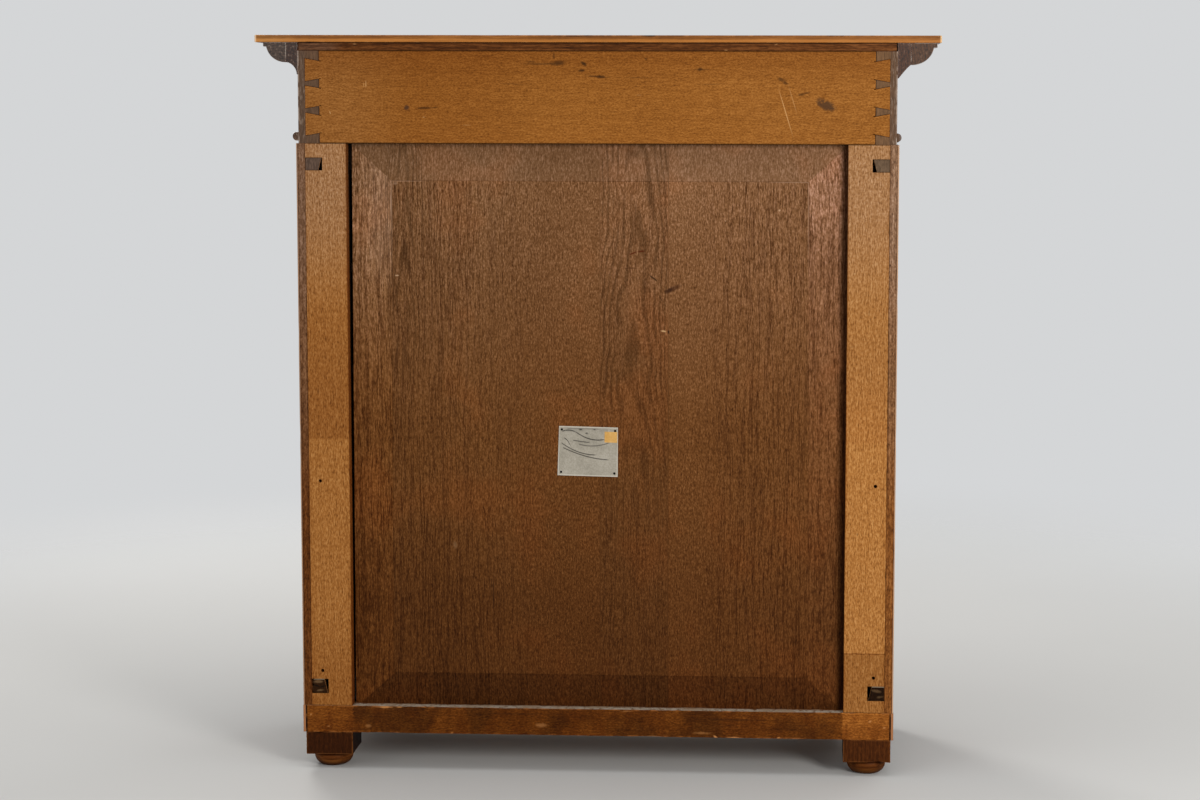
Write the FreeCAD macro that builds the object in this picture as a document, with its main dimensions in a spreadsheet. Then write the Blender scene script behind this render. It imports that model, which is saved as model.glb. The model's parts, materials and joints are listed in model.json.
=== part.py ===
"""Linen press that comes apart: base frame on turned feet, cupboard with two doors, hood with a drawer.

Sizes are in millimetres. +Z is up, the doors face -Y, and the origin lies on the floor in the middle of the
whole press. Left and right are as seen from the front, so the right side is at +X.
"""
import FreeCAD
import Part
import Sketcher
import math
import os
import re

SIZES = {
    # cupboard
    "carcase_width": 1400,
    "carcase_depth": 500,
    "post_height": 1333,
    "side_veneer": 3,
    "side_board": 18,
    "back_post_width": 96,
    "back_post_depth": 58,
    "front_post_width": 90,
    "front_post_depth": 45,
    "fixing_hole_radius": 4,
    "fixing_hole_depth": 24,
    "fixing_hole_inset": 26,
    # base frame and feet
    "bun_height": 34,
    "bun_radius": 46,
    "bun_top_radius": 41,
    "bun_floor_radius": 30,
    "block_width": 112,
    "block_height": 55,
    "block_setback": 2,
    "base_height": 65,
    "base_rail_depth": 60,
    "facing_thickness": 6,
    "facing_proud": 1,
    # back panel and its grooves
    "panel_recess": 20,
    "panel_thickness": 18,
    "bevel_depth": 10,
    "bevel_side_width": 80,
    "bevel_end_width": 72,
    "tongue_width": 14,
    "groove_depth": 12,
    "groove_play": 0.5,
    "panel_end_play": 1,
    "shrink_gap_top": 8.5,
    "shrink_gap_bottom": 4,
    "rail_groove_depth": 8,
    # card pinned to the panel
    "card_width": 143,
    "card_height": 117,
    "card_thickness": 0.6,
    "card_middle_across": 21,
    "card_middle_height": 767,
    "card_tilt": 1.2,
    "tack_radius": 2.4,
    "tack_height": 1.4,
    "tack_inset": 6,
    # bearers between front and back posts
    "bearer_width": 50,
    "tenon_width": 38,
    "tenon_slant": 8,
    "tenon_play": 2,
    "tenon_recess": 1,
    "stub_length": 20,
    "top_bearer_height": 30,
    "top_bearer_drop": 33,
    "bottom_bearer_height": 35,
    "bottom_bearer_rise": 29,
    # rails, floor and shelves
    "sill_height": 40,
    "lintel_height": 40,
    "lip_height": 22,
    "lip_setback": 28,
    "top_back_rail_height": 62,
    "top_back_rail_thickness": 18,
    "floor_thickness": 20,
    "shelf_thickness": 20,
    "shelf_setback": 60,
    "shelf_play": 1,
    "blanket_space": 468,
    "cleat_size": 25,
    # hood
    "hood_inset": 6,
    "hood_height": 214,
    "hood_side": 50,
    "hood_back": 25,
    "hood_floor": 14,
    "hood_rail": 25,
    "dovetail_lap": 17,
    "half_pin": 24,
    "full_pin": 22,
    "pin_slope": 6,
    "dowel_radius": 8,
    "dowel_depth": 25,
    "dowel_play": 0.1,
    "dowel_back_inset": 40,
    "dowel_front_inset": 26,
    "dowel_side_inset": 34,
    # cornice, bead and top
    "batten_height": 19,
    "batten_width": 60,
    "batten_setback": 2,
    "top_thickness": 17,
    "top_overhang": 20,
    "cornice_projection": 80,
    "cornice_height": 74,
    "cornice_seam": 27,
    "fillet_height": 10,
    "fillet_step": 7,
    "ovolo_height": 36,
    "ovolo_lip": 4,
    "ovolo_radius": 44,
    "cove_step": 3,
    "cove_foot": 2,
    "cove_radius": 30,
    "bead_height": 20,
    "bead_flat": 5,
    "bead_rise": 6,
    # doors
    "door_gap": 2,
    "meeting_gap": 2.4,
    "door_thickness": 26,
    "stile_width": 95,
    "door_rail_height": 105,
    "door_groove": 8,
    "door_groove_depth": 12,
    "door_panel_play": 0.2,
    "door_panel_end_play": 1,
    "moulding_width": 18,
    "moulding_height": 9,
    "meeting_bead_width": 20,
    # hinges
    "hinge_length": 81,
    "hinge_inset": 110,
    "leaf_width": 21,
    "leaf_thickness": 2,
    "barrel_radius": 5.5,
    "barrel_clear": 0.4,
    "knuckle_gap": 0.3,
    "hinge_pin_radius": 2.5,
    "hinge_pin_play": 0.08,
    "pin_head_radius": 4.5,
    "pin_head_height": 5,
    # lock, key and bolts
    "lock_width": 70,
    "lock_height": 90,
    "lock_depth": 20,
    "lock_wall": 2,
    "lock_inset": 2,
    "lock_rise": 20,
    "key_inset": 38,
    "key_radius": 3,
    "key_hole_radius": 4.2,
    "key_bow_radius": 12,
    "key_bow_thickness": 4,
    "key_reach": 26,
    "bit_length": 12,
    "bit_width": 6,
    "bit_thickness": 3,
    "key_slot_play": 1.5,
    "lock_bolt_length": 50,
    "lock_bolt_height": 18,
    "lock_bolt_width": 5,
    "lock_bolt_play": 0.4,
    "lock_bolt_rise": 7,
    "escutcheon_radius": 13,
    "escutcheon_spread": 14,
    "escutcheon_thickness": 1.5,
    "slide_inset": 40,
    "slide_width": 10,
    "slide_depth": 6,
    "slide_length": 140,
    "slide_play": 0.4,
    "slide_clear": 3,
    "slide_hole_depth": 24,
    "slide_knob_radius": 5,
    "slide_knob_length": 9,
    "guide_width": 26,
    "guide_length": 120,
    "guide_plate": 2,
    "guide_loop": 12,
    "guide_wall": 3,
    # frieze drawer
    "drawer_gap": 1.5,
    "drawer_front": 22,
    "drawer_wall": 12,
    "drawer_side_play": 3,
    "drawer_height": 112,
    "drawer_back_clear": 27,
    "drawer_bottom": 8,
    "drawer_bottom_rise": 9,
    "drawer_run_play": 0.4,
    "drawer_foot_gap": 2,
}

PLACES = {
    "half_width": "carcase_width / 2",
    "y_back": "(carcase_depth - hood_inset + cornice_projection + top_overhang) / 2",
    "y_front": "y_back - carcase_depth",
    "z_base": "bun_height + block_height",
    "z_carcase": "z_base + base_height",
    "z_hood": "z_carcase + post_height",
    "z_battens": "z_hood + hood_height",
    "z_top": "z_battens + batten_height",
    "z_cornice": "z_top - cornice_height",
    "x_base": "half_width + facing_proud - facing_thickness",
    "y_base_front": "y_front - facing_proud + facing_thickness",
    "y_base_back": "y_back - base_rail_depth",
    "x_board": "half_width - side_veneer",
    "x_post": "x_board - side_board",
    "x_back_inner": "x_post - back_post_width",
    "y_back_inner": "y_back - back_post_depth",
    "x_front_inner": "half_width - front_post_width",
    "y_front_inner": "y_front + front_post_depth",
    "y_tongue_out": "y_back - panel_recess - bevel_depth",
    "y_tongue_in": "y_back - panel_recess - panel_thickness",
    "x_tenon": "x_post - tenon_width",
    "z_bottom_bearer": "z_carcase + bottom_bearer_rise",
    "z_top_bearer": "z_hood - top_bearer_drop - top_bearer_height",
    "z_floor": "z_bottom_bearer + bottom_bearer_height",
    "z_inside": "z_floor + floor_thickness",
    "z_lip": "z_hood - lintel_height - lip_height",
    "z_first_shelf": "z_inside + blanket_space",
    "shelf_pitch": "(z_lip - z_first_shelf) / 3",
    "y_shelf_front": "y_front + shelf_setback",
    "y_shelf_back": "y_tongue_in - shelf_play",
    "x_hood": "half_width - hood_inset",
    "y_hood": "y_front + hood_inset",
    "x_hood_inner": "x_hood - hood_side",
    "x_tail": "x_hood - dovetail_lap",
    "tail": "(hood_height - 2 * half_pin - 2 * full_pin) / 3",
    "x_dowel": "x_hood - dowel_side_inset",
    "z_ovolo_foot": "z_top - fillet_height - ovolo_height",
    "bead_projection": "bead_flat + bead_height / 2",
    "x_door_out": "x_front_inner - door_gap",
    "x_door_in": "meeting_gap / 2",
    "y_door_back": "y_front + door_thickness",
    "z_door_foot": "z_carcase + sill_height + door_gap",
    "z_door_head": "z_hood - lintel_height - door_gap",
    "x_stile_out": "x_door_out - stile_width",
    "x_stile_in": "x_door_in + stile_width",
    "y_groove": "y_front + (door_thickness - door_groove) / 2",
    "x_pin": "x_front_inner - door_gap / 2",
    "y_pin": "y_front - barrel_radius - barrel_clear",
    "knuckle": "hinge_length / 3",
    "z_lock": "(z_door_foot + z_door_head) / 2 + lock_rise",
    "x_key": "x_door_in + key_inset",
    "x_lock": "x_door_in + lock_inset",
    "z_lock_bolt": "z_lock + lock_bolt_rise",
    "y_lock_bolt": "y_door_back + lock_wall + lock_bolt_play",
    "y_key_tip": "y_door_back + lock_depth - lock_wall",
    "x_slide": "x_door_in + slide_inset",
    "y_slide": "y_door_back + guide_plate + slide_play",
    "z_drawer": "z_hood + hood_floor + drawer_run_play",
    "x_drawer": "x_hood_inner - drawer_side_play",
    "y_drawer_back": "y_back - hood_back - drawer_back_clear",
}

document = FreeCAD.newDocument("linen_press")
sheet = document.addObject("Spreadsheet::Sheet", "Sizes")
for row, (name, value) in enumerate(SIZES.items(), start=1):
    sheet.set(f"A{row}", name)
    sheet.set(f"B{row}", str(value))
    sheet.setAlias(f"B{row}", name)
document.recompute()

NODES = {}


def cells(expression):
    """Names of sizes become their cells, names of places become what they stand for."""
    def swap(match):
        word = match.group(0)
        if word in PLACES:
            return "(" + cells(PLACES[word]) + ")"
        if word in SIZES:
            return "Sizes." + word
        return word
    return re.sub(r"[a-z_]+[a-z_0-9]*", swap, expression)


def number(expression):
    return float(sheet.evalExpression(cells(expression)))


def bind(piece, prop, expression):
    piece.setExpression(prop, cells(expression))


def move(piece, x, y, z):
    bind(piece, "Placement.Base.x", x)
    bind(piece, "Placement.Base.y", y)
    bind(piece, "Placement.Base.z", z)


def box(label, x, y, z):
    """Board between two places along each axis."""
    piece = document.addObject("Part::Box", label)
    bind(piece, "Length", f"({x[1]}) - ({x[0]})")
    bind(piece, "Width", f"({y[1]}) - ({y[0]})")
    bind(piece, "Height", f"({z[1]}) - ({z[0]})")
    move(piece, x[0], y[0], z[0])
    return piece


def upright_rod(label, x, y, z, radius):
    piece = document.addObject("Part::Cylinder", label)
    bind(piece, "Radius", radius)
    bind(piece, "Height", f"({z[1]}) - ({z[0]})")
    move(piece, x, y, z[0])
    return piece


def level_rod(label, x, y, z, radius):
    """Rod along the depth of the press."""
    piece = document.addObject("Part::Cylinder", label)
    bind(piece, "Radius", radius)
    bind(piece, "Height", f"({y[1]}) - ({y[0]})")
    piece.Placement.Rotation = FreeCAD.Rotation(FreeCAD.Vector(1, 0, 0), -90)
    move(piece, x, y[0], z)
    return piece


def cut(label, base, tools):
    """Takes each tool out of the base in turn."""
    for index, tool in enumerate(tools):
        last = index == len(tools) - 1
        piece = document.addObject("Part::Cut", label if last else f"{label}_step_{index}")
        piece.Base = base
        piece.Tool = tool
        base = piece
    return base


def fuse(label, pieces):
    piece = document.addObject("Part::MultiFuse", label)
    piece.Shapes = pieces
    piece.Refine = True
    return piece


def mirror(label, source):
    """The same piece on the other side of the press."""
    piece = document.addObject("Part::Mirroring", label)
    piece.Source = source
    piece.Base = FreeCAD.Vector(0, 0, 0)
    piece.Normal = FreeCAD.Vector(1, 0, 0)
    return piece


def keep(node, piece):
    NODES[node] = piece


def keep_group(node, pieces):
    group = document.addObject("Part::Compound", node + "_group")
    group.Links = pieces
    NODES[node] = group


def keep_pair(stem, piece):
    """A right-hand piece and its mirror image, each a node of its own."""
    keep(stem + "_right", piece)
    keep(stem + "_left", mirror(stem + "_left", piece))


def origin_plane(body, role):
    for feature in body.Origin.OriginFeatures:
        if feature.Role == role:
            return feature


def outline(body, role, corners, start):
    """Closed outline on a plane of the body; a corner with a radius ends a round stretch."""
    sketch = body.newObject("Sketcher::SketchObject", body.Name + "_outline")
    sketch.AttachmentSupport = [(origin_plane(body, role), "")]
    sketch.MapMode = "FlatFace"
    bind(sketch, "AttachmentOffset.Base.z", start)
    spots = [FreeCAD.Vector(number(corner[0]), number(corner[1]), 0) for corner in corners]
    ends = []
    for index, corner in enumerate(corners):
        first = spots[index - 1]
        last = spots[index]
        if len(corner) == 2:
            edge = sketch.addGeometry(Part.LineSegment(first, last))
            ends.append((edge, 1, 2))
            continue
        radius = number(corner[2])
        turn = corner[3]
        chord = last - first
        rise = math.sqrt(max(radius ** 2 - (chord.Length / 2) ** 2, 0))
        side = FreeCAD.Vector(-chord.y, chord.x, 0).normalize() * (rise * turn)
        middle = (first + last) * 0.5 + side
        circle = Part.Circle(middle, FreeCAD.Vector(0, 0, 1), radius)
        low, high = (first, last) if turn > 0 else (last, first)
        low_angle = math.atan2(low.y - middle.y, low.x - middle.x)
        high_angle = math.atan2(high.y - middle.y, high.x - middle.x)
        edge = sketch.addGeometry(Part.ArcOfCircle(circle, low_angle, high_angle))
        ends.append((edge, 1, 2) if turn > 0 else (edge, 2, 1))
    for index, corner in enumerate(corners):
        edge, first, last = ends[index]
        following = ends[(index + 1) % len(corners)]
        sketch.addConstraint(Sketcher.Constraint("Coincident", edge, last, following[0], following[1]))
        across = sketch.addConstraint(
            Sketcher.Constraint("DistanceX", -1, 1, edge, last, spots[index].x))
        bind(sketch, f"Constraints[{across}]", corner[0])
        up = sketch.addConstraint(
            Sketcher.Constraint("DistanceY", -1, 1, edge, last, spots[index].y))
        bind(sketch, f"Constraints[{up}]", corner[1])
        if len(corner) > 2:
            bend = sketch.addConstraint(Sketcher.Constraint("Radius", edge, number(corner[2])))
            bind(sketch, f"Constraints[{bend}]", corner[2])
    return sketch


def prism_back_to_front(label, corners, y_high, y_low):
    """Outline of X and Z corners, carried from the back place to the front place."""
    body = document.addObject("PartDesign::Body", label)
    sketch = outline(body, "XZ_Plane", corners, f"-({y_high})")
    pad = body.newObject("PartDesign::Pad", label + "_pad")
    pad.Profile = sketch
    bind(pad, "Length", f"({y_high}) - ({y_low})")
    return body


def prism_across(label, corners, x_low, x_high):
    """Outline of Y and Z corners, carried across the press."""
    body = document.addObject("PartDesign::Body", label)
    sketch = outline(body, "YZ_Plane", corners, x_low)
    pad = body.newObject("PartDesign::Pad", label + "_pad")
    pad.Profile = sketch
    bind(pad, "Length", f"({x_high}) - ({x_low})")
    return body


def prism_up(label, corners, z_low, z_high):
    """Outline of X and Y corners, carried upwards."""
    body = document.addObject("PartDesign::Body", label)
    sketch = outline(body, "XY_Plane", corners, z_low)
    pad = body.newObject("PartDesign::Pad", label + "_pad")
    pad.Profile = sketch
    bind(pad, "Length", f"({z_high}) - ({z_low})")
    return body


# feet: a turned bun under a square block at each corner
x_block = ("x_base - block_width", "x_base")
y_block_back = ("y_back - block_setback - block_width", "y_back - block_setback")
y_block_front = ("y_base_front", "y_base_front + block_width")
blocks = []
buns = []
for end, y_block in (("back", y_block_back), ("front", y_block_front)):
    block = box(f"block_{end}", x_block, y_block, ("bun_height", "z_base"))
    blocks += [block, mirror(f"block_{end}_left", block)]
    bun = document.addObject("PartDesign::Body", f"bun_{end}")
    bun_profile = outline(bun, "XZ_Plane", [
        ("0", "0"),
        ("bun_floor_radius", "0"),
        ("bun_radius", "bun_height * 0.62", "bun_height * 0.75", 1),
        ("bun_top_radius", "bun_height", "bun_height * 0.42", 1),
        ("0", "bun_height"),
    ], "0")
    turning = bun.newObject("PartDesign::Revolution", f"bun_{end}_turning")
    turning.Profile = bun_profile
    turning.ReferenceAxis = (bun_profile, ["V_Axis"])
    turning.Angle = 360
    move(bun, "x_base - block_width / 2", f"({y_block[0]}) + block_width / 2", "0")
    buns += [bun, mirror(f"bun_{end}_left", bun)]
keep_group("foot_blocks", blocks)
keep_group("bun_feet", buns)

# base frame: rails all round with thin facings at the front and sides
x_all_base = ("-(x_base)", "x_base")
z_rail = ("z_base", "z_carcase")
groove_x = ("-(x_back_inner + groove_depth)", "x_back_inner + groove_depth")
groove_y = ("y_tongue_in - groove_play", "y_tongue_out + groove_play")
back_rail = box("back_rail_blank", x_all_base, ("y_base_back", "y_back"), z_rail)
rail_groove = box("rail_groove", groove_x, groove_y, ("z_carcase - rail_groove_depth", "z_carcase"))
keep("base_back_rail", cut("base_back_rail", back_rail, [rail_groove]))
front_rail_y = ("y_base_front", "y_base_front + base_rail_depth")
keep("base_front_rail", box("base_front_rail", x_all_base, front_rail_y, z_rail))
side_rail = box("side_rail", ("x_base - base_rail_depth", "x_base"), (front_rail_y[1], "y_base_back"), z_rail)
keep_group("base_side_rails", [side_rail, mirror("side_rail_left", side_rail)])
facing_out = "y_front - facing_proud"
keep("plinth_facing_front", box(
    "plinth_facing_front", ("-(x_base + facing_thickness)", "x_base + facing_thickness"),
    (facing_out, "y_base_front"), z_rail))
side_facing = box("side_facing", ("x_base", "x_base + facing_thickness"), ("y_base_front", "y_back"), z_rail)
keep_group("plinth_facing_sides", [side_facing, mirror("side_facing_left", side_facing)])

# bearers that join each front post to the back post behind it
bearers = {}
for level, foot, height in (
        ("top", "z_top_bearer", "top_bearer_height"), ("bottom", "z_bottom_bearer", "bottom_bearer_height")):
    head = f"{foot} + {height}"
    bar = box(f"{level}_bar", ("x_post - bearer_width", "x_post"), ("y_front_inner", "y_back_inner"),
              (foot, head))
    stub = box(f"{level}_stub", ("x_tenon", "x_post"), ("y_front_inner - stub_length", "y_front_inner"),
               (foot, head))
    narrow_foot = "x_tenon + tenon_slant" if level == "top" else "x_tenon"
    narrow_head = "x_tenon" if level == "top" else "x_tenon + tenon_slant"
    tenon = prism_back_to_front(f"{level}_tenon", [
        (narrow_foot, foot),
        ("x_post", foot),
        ("x_post", head),
        (narrow_head, head),
    ], "y_back - tenon_recess", "y_back_inner")
    bearer = fuse(f"{level}_bearer", [bar, stub, tenon])
    bearers[level] = (bearer, foot, head)
    keep_group(f"{level}_bearers", [bearer, mirror(f"{level}_bearer_left", bearer)])

# posts, with mortises for the bearers, the panel groove, dowel holes and small fixing holes
z_post = ("z_carcase", "z_hood")
mortise_x = ("x_tenon - tenon_play", "x_post")
back_tools = [box("post_groove", ("x_back_inner", "x_back_inner + groove_depth"), groove_y, z_post)]
front_tools = []
for level in ("top", "bottom"):
    mortise_z = (bearers[level][1], bearers[level][2])
    back_tools.append(box(f"{level}_mortise", mortise_x, ("y_back_inner", "y_back"), mortise_z))
    front_tools.append(box(f"{level}_stub_mortise", ("x_tenon", "x_post"),
                           ("y_front_inner - stub_length", "y_front_inner"), mortise_z))
for place, hole_height in (("middle", "z_first_shelf - cleat_size / 2"), ("low", "z_inside")):
    back_tools.append(level_rod(f"fixing_hole_{place}", "x_post - fixing_hole_inset",
                                ("y_back - fixing_hole_depth", "y_back"), hole_height, "fixing_hole_radius"))
dowel_hole_z = ("z_hood - dowel_depth", "z_hood")
y_dowel_back = "y_back - dowel_back_inset"
y_dowel_front = "y_front + dowel_front_inset"
dowel_hole = "dowel_radius + dowel_play"
back_tools.append(upright_rod("dowel_hole_back", "x_dowel", y_dowel_back, dowel_hole_z, dowel_hole))
front_tools.append(upright_rod("dowel_hole_front", "x_dowel", y_dowel_front, dowel_hole_z, dowel_hole))
back_post = box("back_post_blank", ("x_back_inner", "x_post"), ("y_back_inner", "y_back"), z_post)
keep_pair("back_post", cut("back_post_right", back_post, back_tools))

# butt hinges: three to a door, leaves let into the post and the door stile
hinge_feet = {
    "low": "z_door_foot + hinge_inset",
    "middle": "(z_door_foot + z_door_head - hinge_length) / 2",
    "high": "z_door_head - hinge_inset - hinge_length",
}
leaf_y = ("y_front", "y_front + leaf_width")
post_leaf_x = ("x_front_inner", "x_front_inner + leaf_thickness")
door_leaf_x = ("x_door_out - leaf_thickness", "x_door_out")
post_leaves = []
door_leaves = []
hinge_pins = []
stile_mortises = []
for place, foot in hinge_feet.items():
    head = f"{foot} + hinge_length"
    first_split = f"{foot} + knuckle"
    last_split = f"{foot} + 2 * knuckle"
    front_tools.append(box(f"post_leaf_seat_{place}", post_leaf_x, leaf_y, (foot, head)))
    stile_mortises.append(box(f"door_leaf_seat_{place}", door_leaf_x, leaf_y, (foot, head)))
    pin_bore = upright_rod(f"pin_bore_{place}", "x_pin", "y_pin", (foot, head),
                           "hinge_pin_radius + hinge_pin_play")
    post_parts = [box(f"post_leaf_plate_{place}", post_leaf_x, leaf_y, (foot, head))]
    for half, zone in (("lower", (foot, f"{first_split} - knuckle_gap")),
                       ("upper", (f"{last_split} + knuckle_gap", head))):
        post_parts.append(upright_rod(f"{half}_knuckle_{place}", "x_pin", "y_pin", zone, "barrel_radius"))
        post_parts.append(box(f"{half}_neck_{place}", post_leaf_x, ("y_pin", "y_front"), zone))
    door_zone = (first_split, last_split)
    door_parts = [
        box(f"door_leaf_plate_{place}", door_leaf_x, leaf_y, (foot, head)),
        upright_rod(f"door_knuckle_{place}", "x_pin", "y_pin", door_zone, "barrel_radius"),
        box(f"door_neck_{place}", door_leaf_x, ("y_pin", "y_front"), door_zone),
    ]
    post_leaves.append(cut(f"post_leaf_{place}", fuse(f"post_leaf_blank_{place}", post_parts), [pin_bore]))
    door_leaves.append(cut(f"door_leaf_{place}", fuse(f"door_leaf_blank_{place}", door_parts), [pin_bore]))
    hinge_pins.append(fuse(f"hinge_pin_{place}", [
        upright_rod(f"pin_shank_{place}", "x_pin", "y_pin", (foot, head), "hinge_pin_radius"),
        upright_rod(f"pin_foot_{place}", "x_pin", "y_pin", (f"{foot} - pin_head_height", foot),
                    "pin_head_radius"),
        upright_rod(f"pin_cap_{place}", "x_pin", "y_pin", (head, f"{head} + pin_head_height"),
                    "pin_head_radius"),
    ]))
keep_group("hinge_post_leaves", post_leaves + [mirror(leaf.Name + "_left", leaf) for leaf in post_leaves])
keep_group("hinge_pins", hinge_pins + [mirror(pin.Name + "_left", pin) for pin in hinge_pins])

front_post = box("front_post_blank", ("x_front_inner", "half_width"), ("y_front", "y_front_inner"), z_post)
keep_pair("front_post", cut("front_post_right", front_post, front_tools))

# sides: a board behind each front post, veneered outside
side_y = ("y_front_inner", "y_back")
keep_pair("side_board", box("side_board_right", ("x_post", "x_board"), side_y, z_post))
keep_pair("side_veneer", box("side_veneer_right", ("x_board", "half_width"), side_y, z_post))

# front rails: the lip behind each one stops the doors, and takes a slide bolt
opening_x = ("-(x_front_inner)", "x_front_inner")
front_y = ("y_front", "y_front_inner")
rebate_y = ("y_front", "y_front + lip_setback")
slide_hole_x = ("-(x_slide + slide_width / 2 + slide_play)", "-(x_slide - slide_width / 2 - slide_play)")
slide_hole_y = ("y_slide - slide_play", "y_slide + slide_depth + slide_play")
lintel = box("lintel_blank", opening_x, front_y, ("z_lip", "z_hood"))
lintel_rebate = box("lintel_rebate", opening_x, rebate_y, ("z_lip", "z_hood - lintel_height"))
lintel_hole = box("lintel_hole", slide_hole_x, slide_hole_y, ("z_lip", "z_lip + slide_hole_depth"))
keep("top_front_rail", cut("top_front_rail", lintel, [lintel_rebate, lintel_hole]))
sill = box("sill_blank", opening_x, front_y, ("z_carcase", "z_inside"))
sill_rebate = box("sill_rebate", opening_x, rebate_y, ("z_carcase + sill_height", "z_inside"))
sill_hole = box("sill_hole", slide_hole_x, slide_hole_y, ("z_inside - slide_hole_depth", "z_inside"))
keep("bottom_front_rail", cut("bottom_front_rail", sill, [sill_rebate, sill_hole]))
keep("top_back_rail", box(
    "top_back_rail", ("-(x_back_inner)", "x_back_inner"),
    ("y_back_inner", "y_back_inner + top_back_rail_thickness"), ("z_hood - top_back_rail_height", "z_hood")))

# floor and shelves, notched round the back posts
inside_x = ("-(x_post - shelf_play)", "x_post - shelf_play")
post_notch_x = ("x_back_inner - shelf_play", "x_post")
post_notch_y = ("y_back_inner - shelf_play", "y_shelf_back")


def notched_board(label, y_low, z):
    blank = box(label + "_blank", inside_x, (y_low, "y_shelf_back"), z)
    notch = box(label + "_notch", post_notch_x, post_notch_y, z)
    return cut(label, blank, [notch, mirror(label + "_notch_left", notch)])


keep("floor_board", notched_board("floor_board", "y_front_inner", ("z_floor", "z_inside")))
shelves = []
cleats = []
for place in range(3):
    level = f"z_first_shelf + {place} * shelf_pitch"
    shelves.append(notched_board(f"shelf_{place}", "y_shelf_front", (level, f"{level} + shelf_thickness")))
    cleat = box(f"cleat_{place}", ("x_post - cleat_size", "x_post"), ("y_front_inner", "y_back_inner"),
                (f"{level} - cleat_size", level))
    cleats += [cleat, mirror(f"cleat_{place}_left", cleat)]
keep_group("shelves", shelves)
keep_group("shelf_cleats", cleats)

# back panel: bevelled on the outside, and shrunk clear of the groove along its right edge
panel_edge = [
    ("-(x_back_inner + groove_depth - panel_end_play)", "z_carcase - rail_groove_depth"),
    ("x_back_inner - shrink_gap_bottom", "z_carcase - rail_groove_depth"),
    ("x_back_inner - shrink_gap_top", "z_hood - panel_end_play"),
    ("-(x_back_inner + groove_depth - panel_end_play)", "z_hood - panel_end_play"),
]


def panel_inset(across, up):
    """Corners of the panel's edge moved inwards, across at the sides and up at the ends."""
    ways = ((1, 1), (-1, 1), (-1, -1), (1, -1))
    return [(f"{edge[0]} + {way[0]} * ({across})", f"{edge[1]} + {way[1]} * ({up})")
            for edge, way in zip(panel_edge, ways)]


panel = prism_back_to_front("back_panel", panel_edge, "y_tongue_out", "y_tongue_in")
bevel_foot = outline(panel, "XZ_Plane", panel_inset("tongue_width", "tongue_width"), "-(y_tongue_out)")
field_edge = panel_inset("tongue_width + bevel_side_width", "tongue_width + bevel_end_width")
bevel_head = outline(panel, "XZ_Plane", field_edge, "-(y_tongue_out + bevel_depth)")
bevel = panel.newObject("PartDesign::AdditiveLoft", "panel_bevel")
bevel.Profile = bevel_foot
bevel.Sections = [bevel_head]
bevel.Ruled = True
keep("back_panel", panel)

# blank card with a tack at each corner
card_y = "y_back - panel_recess"
card = document.addObject("Part::Box", "back_card")
bind(card, "Length", "card_width")
bind(card, "Width", "card_thickness")
bind(card, "Height", "card_height")


def card_place(across, up):
    """A spot on the tilted card, given from the card's middle."""
    x = f"card_middle_across + ({across}) * cos(card_tilt) - ({up}) * sin(card_tilt)"
    z = f"card_middle_height + ({across}) * sin(card_tilt) + ({up}) * cos(card_tilt)"
    return x, z


bind(card, "Placement.Rotation.Angle", "card_tilt")
card.Placement.Rotation.Axis = FreeCAD.Vector(0, -1, 0)
card_corner = card_place("-card_width / 2", "-card_height / 2")
move(card, card_corner[0], card_y, card_corner[1])
keep("back_card", card)
tacks = []
for index, (way_across, way_up) in enumerate(((-1, -1), (1, -1), (1, 1), (-1, 1))):
    tack_x, tack_z = card_place(
        f"{way_across} * (card_width / 2 - tack_inset)", f"{way_up} * (card_height / 2 - tack_inset)")
    tack_foot = f"{card_y} + card_thickness"
    tacks.append(level_rod(f"tack_{index}", tack_x, (tack_foot, f"{tack_foot} + tack_height"), tack_z,
                           "tack_radius"))
keep_group("card_tacks", tacks)

# hood: the back board's tails lie in the sides, hidden from the sides by a lap
tail_corners = []
pin_foot = "z_hood + half_pin"
for place in range(3):
    tail_corners += [
        ("x_hood_inner", pin_foot),
        ("x_tail", f"{pin_foot} - pin_slope"),
        ("x_tail", f"{pin_foot} + tail + pin_slope"),
        ("x_hood_inner", f"{pin_foot} + tail"),
    ]
    pin_foot = f"{pin_foot} + tail + full_pin"
right_run = [("x_hood_inner", "z_hood")] + tail_corners + [("x_hood_inner", "z_battens")]
left_run = [(f"-({across})", up) for across, up in reversed(right_run)]
hood_back = prism_back_to_front("hood_back_board", right_run + left_run, "y_back", "y_back - hood_back")
keep("hood_back", hood_back)
hood_side = box("hood_side_blank", ("x_hood_inner", "x_hood"), ("y_hood", "y_back"), ("z_hood", "z_battens"))
hood_hole_z = ("z_hood", "z_hood + dowel_depth")
hood_holes = [
    upright_rod("hood_hole_back", "x_dowel", y_dowel_back, hood_hole_z, dowel_hole),
    upright_rod("hood_hole_front", "x_dowel", y_dowel_front, hood_hole_z, dowel_hole),
]
keep_pair("hood_side", cut("hood_side_right", hood_side, [hood_back] + hood_holes))
dowel_z = ("z_hood - dowel_depth", "z_hood + dowel_depth")
dowels = [
    upright_rod("dowel_back", "x_dowel", y_dowel_back, dowel_z, "dowel_radius"),
    upright_rod("dowel_front", "x_dowel", y_dowel_front, dowel_z, "dowel_radius"),
]
keep_group("hood_dowels", dowels + [mirror(dowel.Name + "_left", dowel) for dowel in dowels])
hood_x = ("-(x_hood_inner)", "x_hood_inner")
keep("hood_floor", box("hood_floor_board", hood_x, ("y_hood + drawer_front", "y_back - hood_back"),
                       ("z_hood", "z_hood + hood_floor")))
keep("hood_front_rail", box("hood_front_rail", hood_x, ("y_hood", "y_hood + hood_rail"),
                            ("z_cornice", "z_battens")))

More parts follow.
